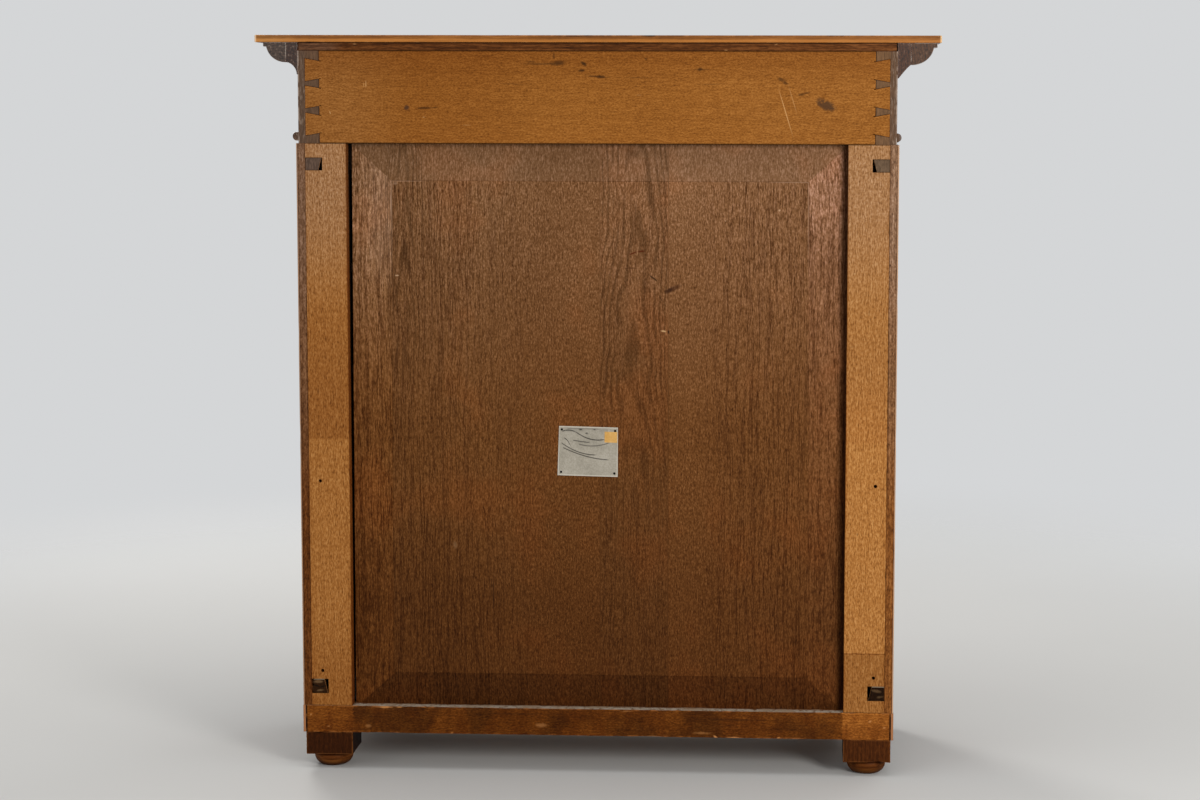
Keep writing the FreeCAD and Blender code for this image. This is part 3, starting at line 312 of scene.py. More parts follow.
def hood_oak():
    """The hood's raw back board: darker at its head, smudged and scratched."""
    t = wood("hood_oak", "xzy", ((100, 55, 14), (148, 91, 34), (186, 124, 58)), 2.0,
             rings=(0.03, 2.2, 0.1, 0.02), ring=0.04, streak=(46, 250), grain=0.6, blotch=0.34,
             pores=(190, 330), pore=0.22, fleck=1.5, end=(96, 66, 38))
    curl = t.noise((t.x * 60 + t.z * 30, 0.0, t.z * 7), 2)
    t.shade(t.ramp(curl, 0.52, 0.68) * t.ramp(t.x, -0.2, -0.5), (0.9, 0.87, 0.82))
    t.tint(t.z, 1.6, 1.7, (0.84, 0.78, 0.7))
    t.shade(t.ramp(t.x, 0.12, 0.3) * t.ramp(t.x, 0.58, 0.4), (0.9, 0.86, 0.8))
    t.tint(t.x, -0.2, -0.45, (1.05, 1.08, 1.16))
    t.tint(t.x, 0.4, 0.6, (1.0, 1.06, 1.36))
    # Painted shade in the joint gaps: a dark line at the foot, over the posts, and at the head, under the
    # batten.
    t.tint(t.z - HOOD_FOOT, 0.0035, 0.0008, 0.25)
    t.tint(t.z - HOOD_HEAD, -0.0035, -0.0005, 0.4)
    marks(t, (62, 36, 14), (
        (0.127, 1.671, 0.066, 0.0036, 0, 0.55), (0.088, 1.673, 0.024, 0.008, 6, 0.75),
        (0.097, 1.69, 0.004, 0.011, 0, 0.5), (0.15, 1.676, 0.016, 0.004, 0, 0.5),
        (0.028, 1.672, 0.012, 0.0056, -35, 0.95), (0.033, 1.656, 0.012, 0.0044, 10, 0.9),
        (-0.006, 1.642, 0.036, 0.003, -4, 0.7), (-0.012, 1.642, 0.013, 0.005, 0, 0.8),
        (-0.116, 1.683, 0.005, 0.0034, 0, 0.7), (-0.1, 1.64, 0.05, 0.0022, 0, 0.35),
        (-0.241, 1.659, 0.01, 0.006, 15, 0.8), (-0.246, 1.659, 0.034, 0.0024, 0, 0.5),
        (-0.27, 1.625, 0.04, 0.0022, 3, 0.35), (0.19, 1.625, 0.05, 0.0022, -3, 0.3),
        (-0.428, 1.636, 0.014, 0.006, -20, 0.7), (-0.437, 1.628, 0.01, 0.005, -20, 0.7),
        (-0.474, 1.602, 0.012, 0.005, 10, 0.7), (-0.486, 1.606, 0.012, 0.003, 5, 0.6)), 0.2, 0.8)
    oval = t.spot((-0.53, 1.578), (0.031, 0.014), -27, 0.45, 0.7)
    t.stain(oval * patches(t, 90.0, 0.26, 0.46), (72, 50, 34), 0.85)
    t.stain(t.spot((0.44, 1.57), (0.009, 0.008), 0, 0.3, 0.4), (66, 44, 34), 0.85)
    marks(t, (70, 38, 12), (
        (0.398, 1.569, 0.026, 0.0045, 3, 0.9), (0.375, 1.57, 0.013, 0.0028, 8, 0.8),
        (-0.6, 1.535, 0.016, 0.002, 0, 0.4), (0.22, 1.512, 0.02, 0.002, 0, 0.3)), 0.1, 0.6)
    marks(t, (216, 166, 108), (
        (0.5345, 1.624, 0.0014, 0.011, 0, 0.75), (0.5395, 1.622, 0.0011, 0.008, 0, 0.5),
        (0.619, 1.558, 0.0018, 0.005, 20, 0.8), (-0.438, 1.561, 0.0016, 0.072, 17.2, 0.65),
        (-0.454, 1.59, 0.0013, 0.045, 17, 0.4), (0.3, 1.53, 0.014, 0.0012, 0, 0.3),
        (0.4, 1.548, 0.004, 0.0014, 10, 0.6), (-0.1, 1.6, 0.01, 0.0012, 0, 0.25)))
    return t.done(0.35, 0.0008, 0.06)


def top_oak():
    """Raw at the back edge, polished on top and at the other edges."""
    t = wood("top_oak", "xyz", ((96, 54, 12), (150, 92, 34), (192, 126, 60)), 5.0,
             rings=(0.02, 1.2, 0.4, 0.02), ring=0.2, streak=(8, 160), grain=0.9, blotch=0.5,
             pores=(50, 380), pore=0.35, fleck=0.8, end=(150, 96, 48), end_ring=0.06, rough=0.42)
    back = t.ramp(t.ny, 0.6, 0.9)
    t.tint(t.ny, 0.75, 0.45, (0.52, 0.36, 0.34))
    t.shade(back * t.ramp(t.z - TOP_FOOT, 0.007, 0.01), (0.8, 0.76, 0.66))
    # Painted highlight along the lower edge of the raw back.
    t.stain(back * t.ramp(t.z - TOP_FOOT, 0.009, 0.005), (200, 126, 52), 0.5)
    for joint in (-0.062, 0.121):
        t.tint(abs(t.y - joint), 0.0012, 0.0004, 0.35)
    rub = edges(t, *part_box("top_board"), 0.004)
    t.stain(rub * patches(t, 60.0, 0.47, 0.62), (196, 134, 72), 0.5)
    corner = t.ramp(abs(t.x) - TOP_END, -0.0055, -0.0015) * t.ramp(t.y - BACK, -0.012, -0.003)
    t.stain(corner, (240, 196, 140), 0.85)
    t.shade(back * t.ramp(t.x, 0.66, 0.76), (1.12, 1.28, 1.75))
    marks(t, (40, 24, 12), (
        (-0.125, 1.7355, 0.024, 0.0028, 0, 0.85), (0.02, 1.736, 0.01, 0.0018, 0, 0.5)), 0.2)
    return t.done(0.3, 0.0008, 0.25)


def post_oak():
    """Raw at the back: browner above a line half way up, darker below a stain near the foot."""
    brown_from, stain_line, hole_reach = 0.794, 0.2954, 0.004
    t = wood("post_oak", "zxy", ((102, 56, 18), (174, 115, 56), (228, 170, 104)), 1.0, sway=0.015,
             rings=(0.016, 1.4, 0.9, 0.012), ring=0.05, streak=(44, 270), grain=0.5, blotch=0.12,
             pores=(120, 340), pore=0.35, fleck=1.5, end=(120, 84, 52), rough=0.65)
    left = t.left()
    right = 1 - left
    t.tint(t.z, 1.05, 1.4, (1.0, 1.16, 1.8))
    frayed = t.z + (t.fibre - 0.5) * 0.01
    brown = t.ramp(t.z, 1.25, 0.88) * t.ramp(frayed - brown_from, -0.003, 0.003)
    t.shade(brown, (0.95, 0.92, 0.9))
    t.shade(left, (0.86, 0.82, 0.76))
    t.shade(right * t.ramp(t.z, 0.8, 1.0), (0.91, 0.94, 1.02))
    t.shade(left * t.ramp(t.z, 1.05, 1.35), (1.02, 1.08, 1.25))
    t.shade(brown * left, (0.84, 0.8, 0.74))
    t.shade(right * t.ramp(t.z - stain_line, 0.0011, -0.0019), (0.74, 0.7, 0.66))
    wavy = t.z + (t.noise((t.x * 40, 0.0, 0.0), 2) - 0.5) * 0.006
    t.shade(right * t.ramp(abs(wavy - stain_line), 0.0022, 0.0006), (0.55, 0.45, 0.35))
    t.shade(left * t.ramp(t.z, 0.42, 0.17), (0.8, 0.74, 0.66))
    # Painted shade on the faces that look sideways.
    t.tint(abs(t.nx), 0.5, 0.9, (0.62, 0.5, 0.38))
    inner_edge = t.ramp(abs(t.x) - POST_IN, 0.0032, 0.0008)
    t.shade(inner_edge * t.ramp(t.cloud, 0.3, 0.6), (0.66, 0.54, 0.4))
    curl = t.noise((t.x * 150, 0.0, t.z * 240), 2, 0.6)
    t.shade(t.ramp(curl, 0.5, 0.62) * t.ramp(t.z, 1.1, 1.35), (0.84, 0.8, 0.76))
    # Painted shade, nearly black, deep in the grooves.
    t.tint(t.y - BACK, -0.027, -0.031, 0.08)
    outer_edge = t.ramp(abs(t.x) - POST_OUT, -0.011, 0.0)
    t.shade(outer_edge * t.ramp(t.cloud, 0.35, 0.65), (0.88, 0.82, 0.74))
    # Painted shade in the joint gaps under the hood and over the rail.
    t.tint(t.z - HOOD_FOOT, -0.0022, -0.0002, 0.3)
    t.tint(t.z - RAIL_HEAD, 0.0022, 0.0005, 0.4)
    # Painted shade, nearly black, inside the fixing holes.
    sunk = t.ramp(t.y - BACK, -0.0002, -0.001)
    for place in HOLE_PLACES:
        t.shade(t.spot(place, (hole_reach, hole_reach), 0, 0.8) * sunk, 0.06)
    marks(t, (84, 50, 24), (
        (0.655, 0.905, 0.003, 0.01, 0, 0.5), (-0.634, 1.1, 0.002, 0.012, 0, 0.5),
        (-0.612, 0.58, 0.003, 0.005, 0, 0.5), (0.61, 0.3, 0.002, 0.004, 0, 0.5),
        (-0.595, 1.02, 0.008, 0.002, 8, 0.4)), 0.2, 0.8)
    marks(t, (214, 170, 120), (
        (-0.6, 1.19, 0.003, 0.002, 0, 0.6), (0.64, 1.22, 0.002, 0.003, 0, 0.5)))
    return t.done(0.5, 0.001, 0.06)


def arch_lines(t, bend, dash, middle, half, seed):
    """Rows of vessels that arch one above the other: close lines at both sides, open tips between them."""
    sway = t.noise((seed, 3.0, t.z * 2.6), 2) - 0.5
    off = (bend + sway * half - middle) / half
    ripple = t.noise((t.x * 20, seed, t.z * 5.0), 3)
    turn = t.math("FRACT", off * off * 3.2 + t.z * 4.2 + ripple * 2.4)
    rows = t.ramp(abs(turn - 0.5), 0.27, 0.1) * t.ramp(dash, 0.36, 0.52) * t.ramp(abs(off), 1.4, 1.15)
    return rows * t.ramp(t.noise((t.x * 30, seed, t.z * 9.0), 2), 0.34, 0.52)


def panel_slopes(t):
    """The sloped borders of the panel: 1 on the top, foot, left and right one, 0 elsewhere."""
    left, right, top, foot = 0.479, -0.489, 1.40025, 0.23175
    slope = t.ramp(t.y - PANEL_FACE, -0.0006, -0.0009)
    mitre = t.math("MAXIMUM", abs(t.x + 0.005) - 0.486, 0.0) * 0.9
    top_slope = slope * t.ramp(t.z - mitre - top, -0.00075, 0.00075)
    foot_slope = slope * t.ramp(t.z + mitre - foot, 0.00075, -0.00075)
    upright = slope * (1 - top_slope) * (1 - foot_slope)
    return (top_slope, foot_slope, upright * t.ramp(t.x - left, -0.001, 0.001),
            upright * t.ramp(t.x - right, 0.001, -0.001))


# knots, chips, scratches, painted highlights: x and z, half width and height, lean in degrees, colour,
# strength
PANEL_MARKS = (
    ((0.4696, 1.1785), (0.006, 0.0022), 4, (190, 154, 120), 0.9),
    # painted highlights on the field's step at its top left
    ((0.4825, 1.345), (0.0018, 0.042), 0, (184, 150, 124), 0.6),
    ((0.472, 1.394), (0.008, 0.004), 0, (160, 126, 100), 0.5),
    ((-0.084, 1.2335), (0.014, 0.0028), 22, (84, 34, 10), 0.95),
    ((-0.104, 1.2385), (0.013, 0.0026), 5, (84, 34, 10), 0.95),
    ((-0.078, 1.199), (0.024, 0.0018), 0, (70, 36, 14), 0.7),
    ((-0.18, 1.152), (0.026, 0.0085), 24, (66, 36, 20), 0.7),
    ((-0.168, 1.147), (0.015, 0.007), 30, (52, 28, 16), 0.75),
    ((-0.132, 1.176), (0.018, 0.003), -36, (52, 32, 14), 0.9),
    ((-0.15, 1.128), (0.012, 0.0022), -60, (60, 38, 18), 0.6),
    ((-0.246, 1.1864), (0.004, 0.007), 14, (70, 38, 20), 0.45),
    ((-0.156, 1.052), (0.009, 0.003), -10, (206, 164, 116), 0.8),
    ((-0.168, 1.05), (0.003, 0.007), 10, (30, 16, 8), 0.85),
    ((0.247, 0.428), (0.0018, 0.055), 0, (40, 22, 10), 0.6),
    ((0.251, 0.44), (0.0014, 0.035), 0, (40, 22, 10), 0.5),
    ((0.337, 0.541), (0.007, 0.012), 10, (140, 104, 70), 0.45),
    ((-0.3, 1.31), (0.002, 0.002), 0, (196, 156, 120), 0.6),
    ((-0.425, 1.335), (0.003, 0.003), 0, (206, 170, 136), 0.7),
    ((0.31, 0.9), (0.008, 0.0014), -20, (72, 42, 20), 0.4))


def panel_grain(t, boards, top_slope):
    """Long lines towards the outsides, sandy between, arches in the middle board. Gives the places across
    the swaying grain and the dashes of its vessels."""
    x, z = t.x, t.z
    in_left, in_middle, in_right = boards
    shift = in_middle * 3.7 + in_right * 8.3
    drift = t.noise((x * 9 + shift, shift, z * 2.6), 3) - 0.5
    bend = x + drift * 0.03
    lined = (in_left * t.ramp(x, 0.0, 0.4) + in_right * t.ramp(x, -0.18, -0.36) + in_middle * 0.6
             + t.ramp(z, 0.7, 0.3) * 0.15) * (1 - top_slope * 0.8)
    sand = t.noise((bend * 350, t.y * 350, z * 150 + shift), 2, 0.6)
    dash = t.noise((bend * 310, t.y * 310, z * 60 + shift), 3, 0.62)
    comb = t.noise((bend * 330 + 7.0, t.y * 330, z * 30 + shift), 2, 0.6)
    combed = lined * t.ramp(z, 0.7, 1.15)
    cloud = t.noise((x * 4.0, shift * 0.3, z * 4.0), 3, 0.55)
    wave = t.noise((bend * 90 + shift, shift, z * 2.4), 3, 0.62)
    veins = t.ramp(abs(wave - 0.5), 0.036, 0.008) * lined
    arches = arch_lines(t, bend, dash, -0.09, 0.07, 2.0) * in_middle * t.ramp(z, 0.3, 1.05)
    arches = arches + arch_lines(t, bend, dash, 0.452, 0.036, 11.0) * in_left * t.ramp(z, 0.85, 1.1)
    crisp = 1 + t.ramp(z, 0.95, 1.3) * (0.05 + lined * 0.16 - top_slope * 0.05)
    level = ((sand - 0.5) * (1.5 - lined * 0.4 - combed * 0.1) * (1 - top_slope * 0.35) * crisp
             + (dash - 0.5) * (lined * 0.9 + 0.9 - combed * 0.1) * crisp
             + (comb - 0.5) * combed * 0.9 + (cloud - 0.5) * 0.3 + 0.5)
    t.colour = t.tones(level, (60, 29, 6), (104, 63, 28), (150, 101, 58))
    t.shade(t.ramp(dash, 0.53, 0.68) * (lined * 0.8 + 0.15), (0.7, 0.64, 0.57))
    t.shade(t.ramp(comb, 0.55, 0.68) * combed, (0.7, 0.64, 0.58))
    t.shade(t.ramp(comb, 0.45, 0.32) * combed, (1.14, 1.17, 1.22))
    t.shade(veins, (0.62, 0.56, 0.5))
    t.shade(arches, (0.56, 0.53, 0.46))
    t.tint(cloud, 0.5, 0.66, (1.08, 0.98, 0.9))
    t.height = sand * 0.25 + dash * 0.3 - veins * 0.5 - arches * 0.25
    t.rough = (cloud - 0.5) * 0.2 + veins * 0.1 + 0.55
    return bend, dash


def panel_tints(t, boards, slopes, bend, dash):
    """Each board and slope in its own tone; faded with a painted sheen at the head, painted shade at the
    foot.
    """
    x, z = t.x, t.z
    in_left, in_middle, _ = boards
    top_slope, foot_slope, left_slope, right_slope = slopes
    t.shade(in_middle, (1.0, 1.04, 1.12))
    t.shade(in_middle * t.ramp(z, 0.85, 1.25), (1.16, 1.15, 1.16))
    fair = t.ramp(x + (dash - 0.5) * 0.008, -0.163, -0.172)
    t.shade(fair, (1.1, 1.13, 1.2))
    t.shade(fair * t.ramp(z, 0.8, 1.25), (1.09, 1.1, 1.12))
    t.shade(in_left * t.ramp(x, 0.05, 0.3), (1.09, 1.14, 1.2))
    # Painted sheen over faded wood, paler and greyer towards the head; painted shade, darker towards the
    # foot; the lower left a little darker still.
    t.tint(z, 0.75, 1.45, (1.36, 1.66, 2.6))
    t.tint(z, 0.95, 0.16, (0.62, 0.54, 0.42))
    t.shade(t.ramp(x, -0.1, 0.55) * t.ramp(z, 1.0, 0.4), (0.92, 0.9, 0.86))
    # Painted light on the top and side slopes and painted shade on the foot slope, by the way each faces; a
    # painted sheen high on the left slope.
    t.shade(top_slope, (0.99, 1.06, 1.2))
    t.shade(left_slope, (1.26, 1.24, 1.16))
    t.shade(left_slope * t.ramp(z, 0.9, 1.25), (1.2, 1.32, 1.6))
    t.shade(left_slope * t.ramp(z, 1.1, 1.4) * t.ramp(x, 0.57, 0.5), (1.12, 1.16, 1.24))
    t.shade(right_slope * t.ramp(z, 0.3, 0.9), (1.15, 1.16, 1.3))
    t.shade(right_slope * t.ramp(z, 1.1, 1.4), (1.22, 1.28, 1.45))
    t.shade(foot_slope, (0.7, 0.66, 0.62))
    painted_sheen = left_slope * t.ramp(z, 1.12, 1.3) * t.ramp(x, 0.565, 0.505)
    t.stain(painted_sheen, (150, 120, 100), 0.2)
    lines = t.noise((bend * 140 + 5.0, 2.0, z * 11.0), 3, 0.6)
    t.shade(left_slope * t.ramp(lines, 0.54, 0.42), (0.78, 0.73, 0.68))


def panel_edges(t):
    """Painted shade in the grooves and at the slopes' heads, dark glued joints, a painted highlight on the
    top step.
    """
    x, z = t.x, t.z
    # Painted shadow of the right-hand post on the panel.
    t.tint(x, -0.566, -0.579, (0.3, 0.24, 0.18))
    # Painted shade on the panel's thin edge in the grooves.
    t.tint(t.y - PANEL_EDGE, -0.0006, -0.0015, 0.2)
    uneven = patches(t, 9.0, 0.4, 0.6)
    # Painted shade along the step at the head of each slope, stronger along the top.
    arris = t.ramp(abs(t.y - (PANEL_FACE - 0.00098)), 0.00018, 0.00006)
    t.shade(arris * uneven, (0.66, 0.6, 0.52))
    t.shade(arris * t.ramp(z, 1.39, 1.4), (0.66, 0.6, 0.54))
    # Painted highlight on the step round the field near its top corners.
    corner = t.ramp(abs(x), 0.38, 0.45) * t.ramp(z, 1.15, 1.35)
    step = t.ramp(abs(t.y - (PANEL_FACE - 0.0004)), 0.00022, 0.00014)
    t.stain(step * corner, (176, 140, 112), 0.65)
    for joint in PANEL_JOINTS:
        t.shade(t.ramp(abs(x - joint), 0.0022, 0.0006) * patches(t, 14.0, 0.4, 0.6), (0.8, 0.77, 0.72))


def panel_oak():
    """The raised panel, glued up from three boards."""
    left_joint, right_joint = PANEL_JOINTS
    t = Tree("panel_oak")
    in_right = t.ramp(t.x - right_joint, 0.0015, -0.0015)
    in_middle = 1 - in_right - t.ramp(t.x - left_joint, -0.0013, 0.0012)
    boards = (1 - in_middle - in_right, in_middle, in_right)
    slopes = panel_slopes(t)
    bend, dash = panel_grain(t, boards, slopes[0])
    panel_tints(t, boards, slopes, bend, dash)
    panel_edges(t)
    for middle, size, lean, colour, strength in PANEL_MARKS:
        t.stain(t.spot(middle, size, lean, 0.3, 0.5), colour, strength)
    return t.done(0.6, 0.001, 0.05)


def rail_oak():
    """Dark under a dusty ledge, fair at both ends, chipped along its edges."""
    t = wood("rail_oak", "xzy", ((44, 16, 1), (93, 48, 9), (140, 82, 26)), 7.0,
             rings=(0.02, 0.9, 0.3, 0.015), ring=0.03, streak=(44, 260), grain=0.5, pores=(170, 320),
             pore=0.3, fleck=1.2, end=(120, 84, 56), rough=0.5)
    smear = t.noise((t.x * 30, 0.0, t.z * 12), 3, 0.6)
    t.tint(smear, 0.55, 0.4, (0.8, 0.74, 0.66))
    ends = t.ramp(abs(t.x) + (t.fibre - 0.5) * 0.01, POST_IN - 0.004, POST_IN)
    uneven = patches(t, 8.0, 0.44, 0.6)
    t.shade((1 - ends) * uneven, (0.72, 0.74, 0.8))
    t.shade((1 - ends) * (1 - uneven), (1.12, 1.12, 1.1))
    t.shade(ends, (2.3, 2.6, 3.6))
    t.shade(ends * t.left(), (0.66, 0.6, 0.46))
    t.shade(ends * t.ramp(t.z, 0.122, 0.116), (0.86, 0.82, 0.76))
    # Painted shade in the gaps between the rail's ends and the facings.
    t.tint(abs(t.x) - RAIL_END, -0.005, -0.0028, 0.1)
    dust = t.ramp(t.noise((t.x * 90, t.y * 60, 0.0), 3, 0.6), 0.3, 0.55)
    ledge = t.ramp(abs(t.x) - POST_IN, 0.001, -0.003) * t.ramp(t.y - BACK, -0.027, -0.017)
    ledge = ledge * t.ramp(t.nz, 0.6, 0.9)
    t.stain(ledge, (96, 74, 54), 0.8)
    t.stain(ledge * dust, (178, 166, 150), 0.85)
    lip = t.ramp(t.z - RAIL_HEAD, -0.0025, -0.0005) * t.ramp(t.nz, 0.1, 0.4)
    t.stain(lip * patches(t, 24.0, 0.42, 0.6), (150, 126, 102), 0.7)
    rub = edges(t, *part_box("base_back_rail"), 0.005)
    t.stain(rub * patches(t, 38.0, 0.48, 0.62), (170, 106, 52), 0.6)
    marks(t, (196, 134, 76), (
        (0.505, 0.1515, 0.026, 0.0035, 0, 0.85), (0.47, 0.152, 0.012, 0.0025, 0, 0.6),
        (0.132, 0.113, 0.02, 0.007, 0, 0.35), (0.545, 0.105, 0.01, 0.006, 0, 0.3),
        (-0.25, 0.1, 0.03, 0.004, 0, 0.3), (-0.646, 0.134, 0.006, 0.004, 20, 0.8),
        (-0.68, 0.119, 0.006, 0.003, 10, 0.7), (0.683, 0.131, 0.004, 0.003, 30, 0.6),
        (0.641, 0.103, 0.005, 0.002, 0, 0.5), (-0.282, 0.0912, 0.008, 0.003, -30, 0.9),
        (-0.326, 0.0905, 0.024, 0.002, 0, 0.8), (-0.431, 0.0912, 0.005, 0.0026, 20, 0.9),
        (0.345, 0.091, 0.005, 0.004, 40, 0.5), (-0.135, 0.0905, 0.022, 0.0018, 0, 0.5),
        (-0.07, 0.15, 0.018, 0.002, 0, 0.4)), 0.2, 1.0)
    marks(t, (40, 18, 4), (
        (0.413, 0.1485, 0.009, 0.0032, 10, 0.8), (0.44, 0.145, 0.03, 0.002, 0, 0.4),
        (0.2, 0.14, 0.12, 0.0026, 0, 0.4), (-0.33, 0.133, 0.11, 0.0034, 0, 0.5),
        (-0.08, 0.104, 0.09, 0.0024, 0, 0.35), (-0.45, 0.112, 0.06, 0.0022, 0, 0.4)), 0.3, 1.2)
    return t.done(0.45, 0.001, 0.06)


def dark_oak(name, axes, shades, seed, streak=(14, 200), grain=0.9, pores=(70, 380), fleck=1.2, **more):
    """Close-ringed wood that went dark without polish."""
    return wood(name, axes, shades, seed, sway=0.015, rings=(0.01, 0.5, 0.2, 0.01), ring=0.12,
                streak=streak, grain=grain, blotch=0.5, pores=pores, fleck=fleck, **more)


def two_runs(t, side):
    """Axes of pieces that run front to back where side is 1 and across the press elsewhere."""
    across = 1 - side
    return t.y * side + t.x * across, t.x * side + t.y * across, t.z, t.ny * side + t.nx * across


def round_the_corner(t):
    """Mouldings run along the sides and turn at a mitre along the front."""
    return two_runs(t, t.math("GREATER_THAN", abs(t.x) + t.y, HOOD_OUT + starts("hood_side_right", "y")))


def drawer_box(t):
    """The drawer's sides run front to back, its back runs across."""
    return two_runs(t, t.math("GREATER_THAN", abs(t.x), stops("drawer_bottom", "x") - 0.001))


def hood_wall(t):
    """The hood's sides run front to back, are upright on the front and show end grain at the back alone."""
    front = t.ramp(t.ny, -0.4, -0.6)
    rest = 1 - front
    return (t.y * rest + t.z * front, t.z * rest + t.x * front, t.x * rest + t.y * front,
            t.math("MAXIMUM", t.ny, 0.0))


def polished(name, axes, seed, shades=((44, 17, 8), (92, 41, 20), (142, 74, 38)), **more):
    """Red-brown wood under old polish, dull where it is end grain."""
    more.setdefault("rings", (0.022, 0.55, 0.35, 0.03))
    more.setdefault("end", (86, 68, 58))
    t = wood(name, axes, shades, seed, 0.06, ring=0.22, streak=(2.6, 90), grain=0.85, blotch=0.9,
             pores=(26, 480), pore=0.45, rough=0.28, **more)
    t.rough = t.mix(t.end, t.rough, (0.7, 0.7, 0.7))
    return t


def gloss(t):
    """Ends a finish with a thin coat of old polish."""
    return t.done(0.12, 0.0005, 0.45, Coat_Weight=0.25, Coat_Roughness=0.16)


def worn_and_highlit_rim(t, colour, strength):
    """Lightens the rounded edge between the end grain at the back and the polished sides: wear and a painted
    highlight.
    """
    rim = t.ramp(t.ny, 0.25, 0.5) * t.ramp(t.ny, 0.97, 0.85)
    t.stain(rim * patches(t, 70.0, 0.36, 0.55), colour, strength)


def flame():
    """Crotch figure that feathers up and outwards from the middle of each door panel; plain grain inside."""
    t = Tree("door_flame")
    across = abs(t.x) - 0.305
    off = abs(across)
    drift = t.noise((across * 6, 4.0, t.z * 3), 3) - 0.5
    rise = t.z * 5.0 - t.math("POWER", off * 6.0 + 0.02, 0.62) * 1.9 + drift * 0.9
    plume = t.noise((rise * 2.2, off * 14, 4.0), 4, 0.6, 0.6)
    feather = t.noise((rise * 1.2, off * 120 + drift * 8, 7.0), 4, 0.6)
    pore = t.ramp(t.noise((rise * 9, off * 420, across * 40), 2, 0.6), 0.54, 0.72)
    level = (plume - 0.5) * 1.7 + (feather - 0.5) * 0.8 - t.ramp(off, 0.05, 0.0) * 0.12 + 0.52
    figure = t.tones(level, (44, 17, 8), (104, 48, 22), (160, 88, 44))
    straight = t.noise((t.x * 95 + drift * 2, 5.0, t.z * 2.4), 4, 0.6)
    plain = t.tones((straight - 0.5) * 1.5 + 0.5, (66, 30, 15), (108, 58, 31), (142, 86, 50))
    t.colour = t.mix(t.ramp(t.ny, 0.2, 0.5), figure, plain)
    t.shade(pore, (0.72, 0.66, 0.6))
    t.height = feather * 0.3 - pore * 0.5
    t.rough = (plume - 0.5) * 0.15 + 0.28
    return gloss(t)


def metal(name, shades, rough, metallic, spots, specular=0.5):
    """Old metal, dull and stained in patches."""
    t = Tree(name)
    cloud = t.noise(t.place, 4, 0.6, scale=60.0)
    grit = t.noise(t.place, 3, 0.6, scale=420.0)
    t.colour = t.shades((cloud - 0.5) * 1.6 + (grit - 0.5) * 0.5 + 0.5,
                        [(0.1, tone(*shades[0])), (0.5, tone(*shades[1])), (0.9, tone(*shades[2]))])
    t.stain(patches(t, 110.0, 0.58, 0.7), spots, 0.7)
    t.height = grit * 0.6 + cloud * 0.4
    t.rough = (cloud - 0.5) * 0.35 + (grit - 0.5) * 0.15 + rough
    return t.done(0.25, 0.0004, specular, Metallic=metallic)


def card_place(across, up, out):
    """A point of the card: across to the right as the back is looked at, up, and out of the panel."""
    cosine, sine = math.cos(CARD_TURN), math.sin(CARD_TURN)
    return CARD_MIDDLE + Vector((-across * cosine - up * sine, out, -across * sine + up * cosine))


def card_paper():
    """Grey card with dark creases, stained towards its top and lighter along its rim."""
    t = Tree("card_paper")
    cosine, sine = math.cos(CARD_TURN), math.sin(CARD_TURN)
    across = (t.x - CARD_MIDDLE.x) * -cosine - (t.z - CARD_MIDDLE.z) * sine
    up = (t.z - CARD_MIDDLE.z) * cosine - (t.x - CARD_MIDDLE.x) * sine
    fibre = t.noise(t.place, 5, 0.65, scale=300.0)
    cloud = t.noise(t.place, 3, 0.55, scale=26.0)
    level = (fibre - 0.5) * 1.0 + (cloud - 0.5) * 0.7 + 0.5
    t.colour = t.tones(level, (128, 123, 111), (168, 161, 147), (198, 192, 180))
    lines = None
    for low, high, a, b, c, dark in CREASES:
        line = t.ramp(abs(up - (across * across * c + across * b + a)), 0.0019, 0.0006)
        line = line * t.ramp(across, low, low + 0.003) * t.ramp(across, high, high - 0.01) * dark
        lines = line if lines is None else t.math("MAXIMUM", lines, line)
    t.stain(lines * t.ramp(fibre, 0.26, 0.46), (44, 42, 38), 0.95)
    t.stain(t.ramp(up, 0.03, 0.052) * t.ramp(cloud, 0.42, 0.6), (96, 92, 84), 0.35)
    for across_at, up_at, reach in (
            (-0.0185, 0.0515, 0.0055), (-0.004, 0.043, 0.0048), (0.014, 0.052, 0.0036)):
        off = t.math("SQRT", (across - across_at) * (across - across_at) + (up - up_at) * (up - up_at) * 3.0)
        t.stain(t.ramp(off, reach, reach * 0.3), (44, 42, 38), 0.8)
    rim = t.math("MINIMUM", CARD_HALF[0] - abs(across), CARD_HALF[1] - abs(up))
    t.stain(t.ramp(rim, 0.0034, 0.0022), (204, 198, 184), 0.7)
    t.height = fibre * 0.5 - lines * 0.8
    t.rough = (cloud - 0.5) * 0.1 + 0.8
    return t.done(0.3, 0.0005, 0.15)


def patch_paper():
    """Yellowed paper."""
    t = Tree("patch_paper")
    fibre = t.noise(t.place, 4, 0.6, scale=300.0)
    cloud = t.noise(t.place, 2, 0.5, scale=70.0)
    level = (fibre - 0.5) * 0.8 + (cloud - 0.5) * 0.8 + 0.5
    t.colour = t.tones(level, (184, 132, 62), (212, 164, 92), (228, 186, 120))
    t.height = fibre
    t.rough = cloud * 0.1 + 0.7
    return t.done(0.2, 0.0004, 0.15)


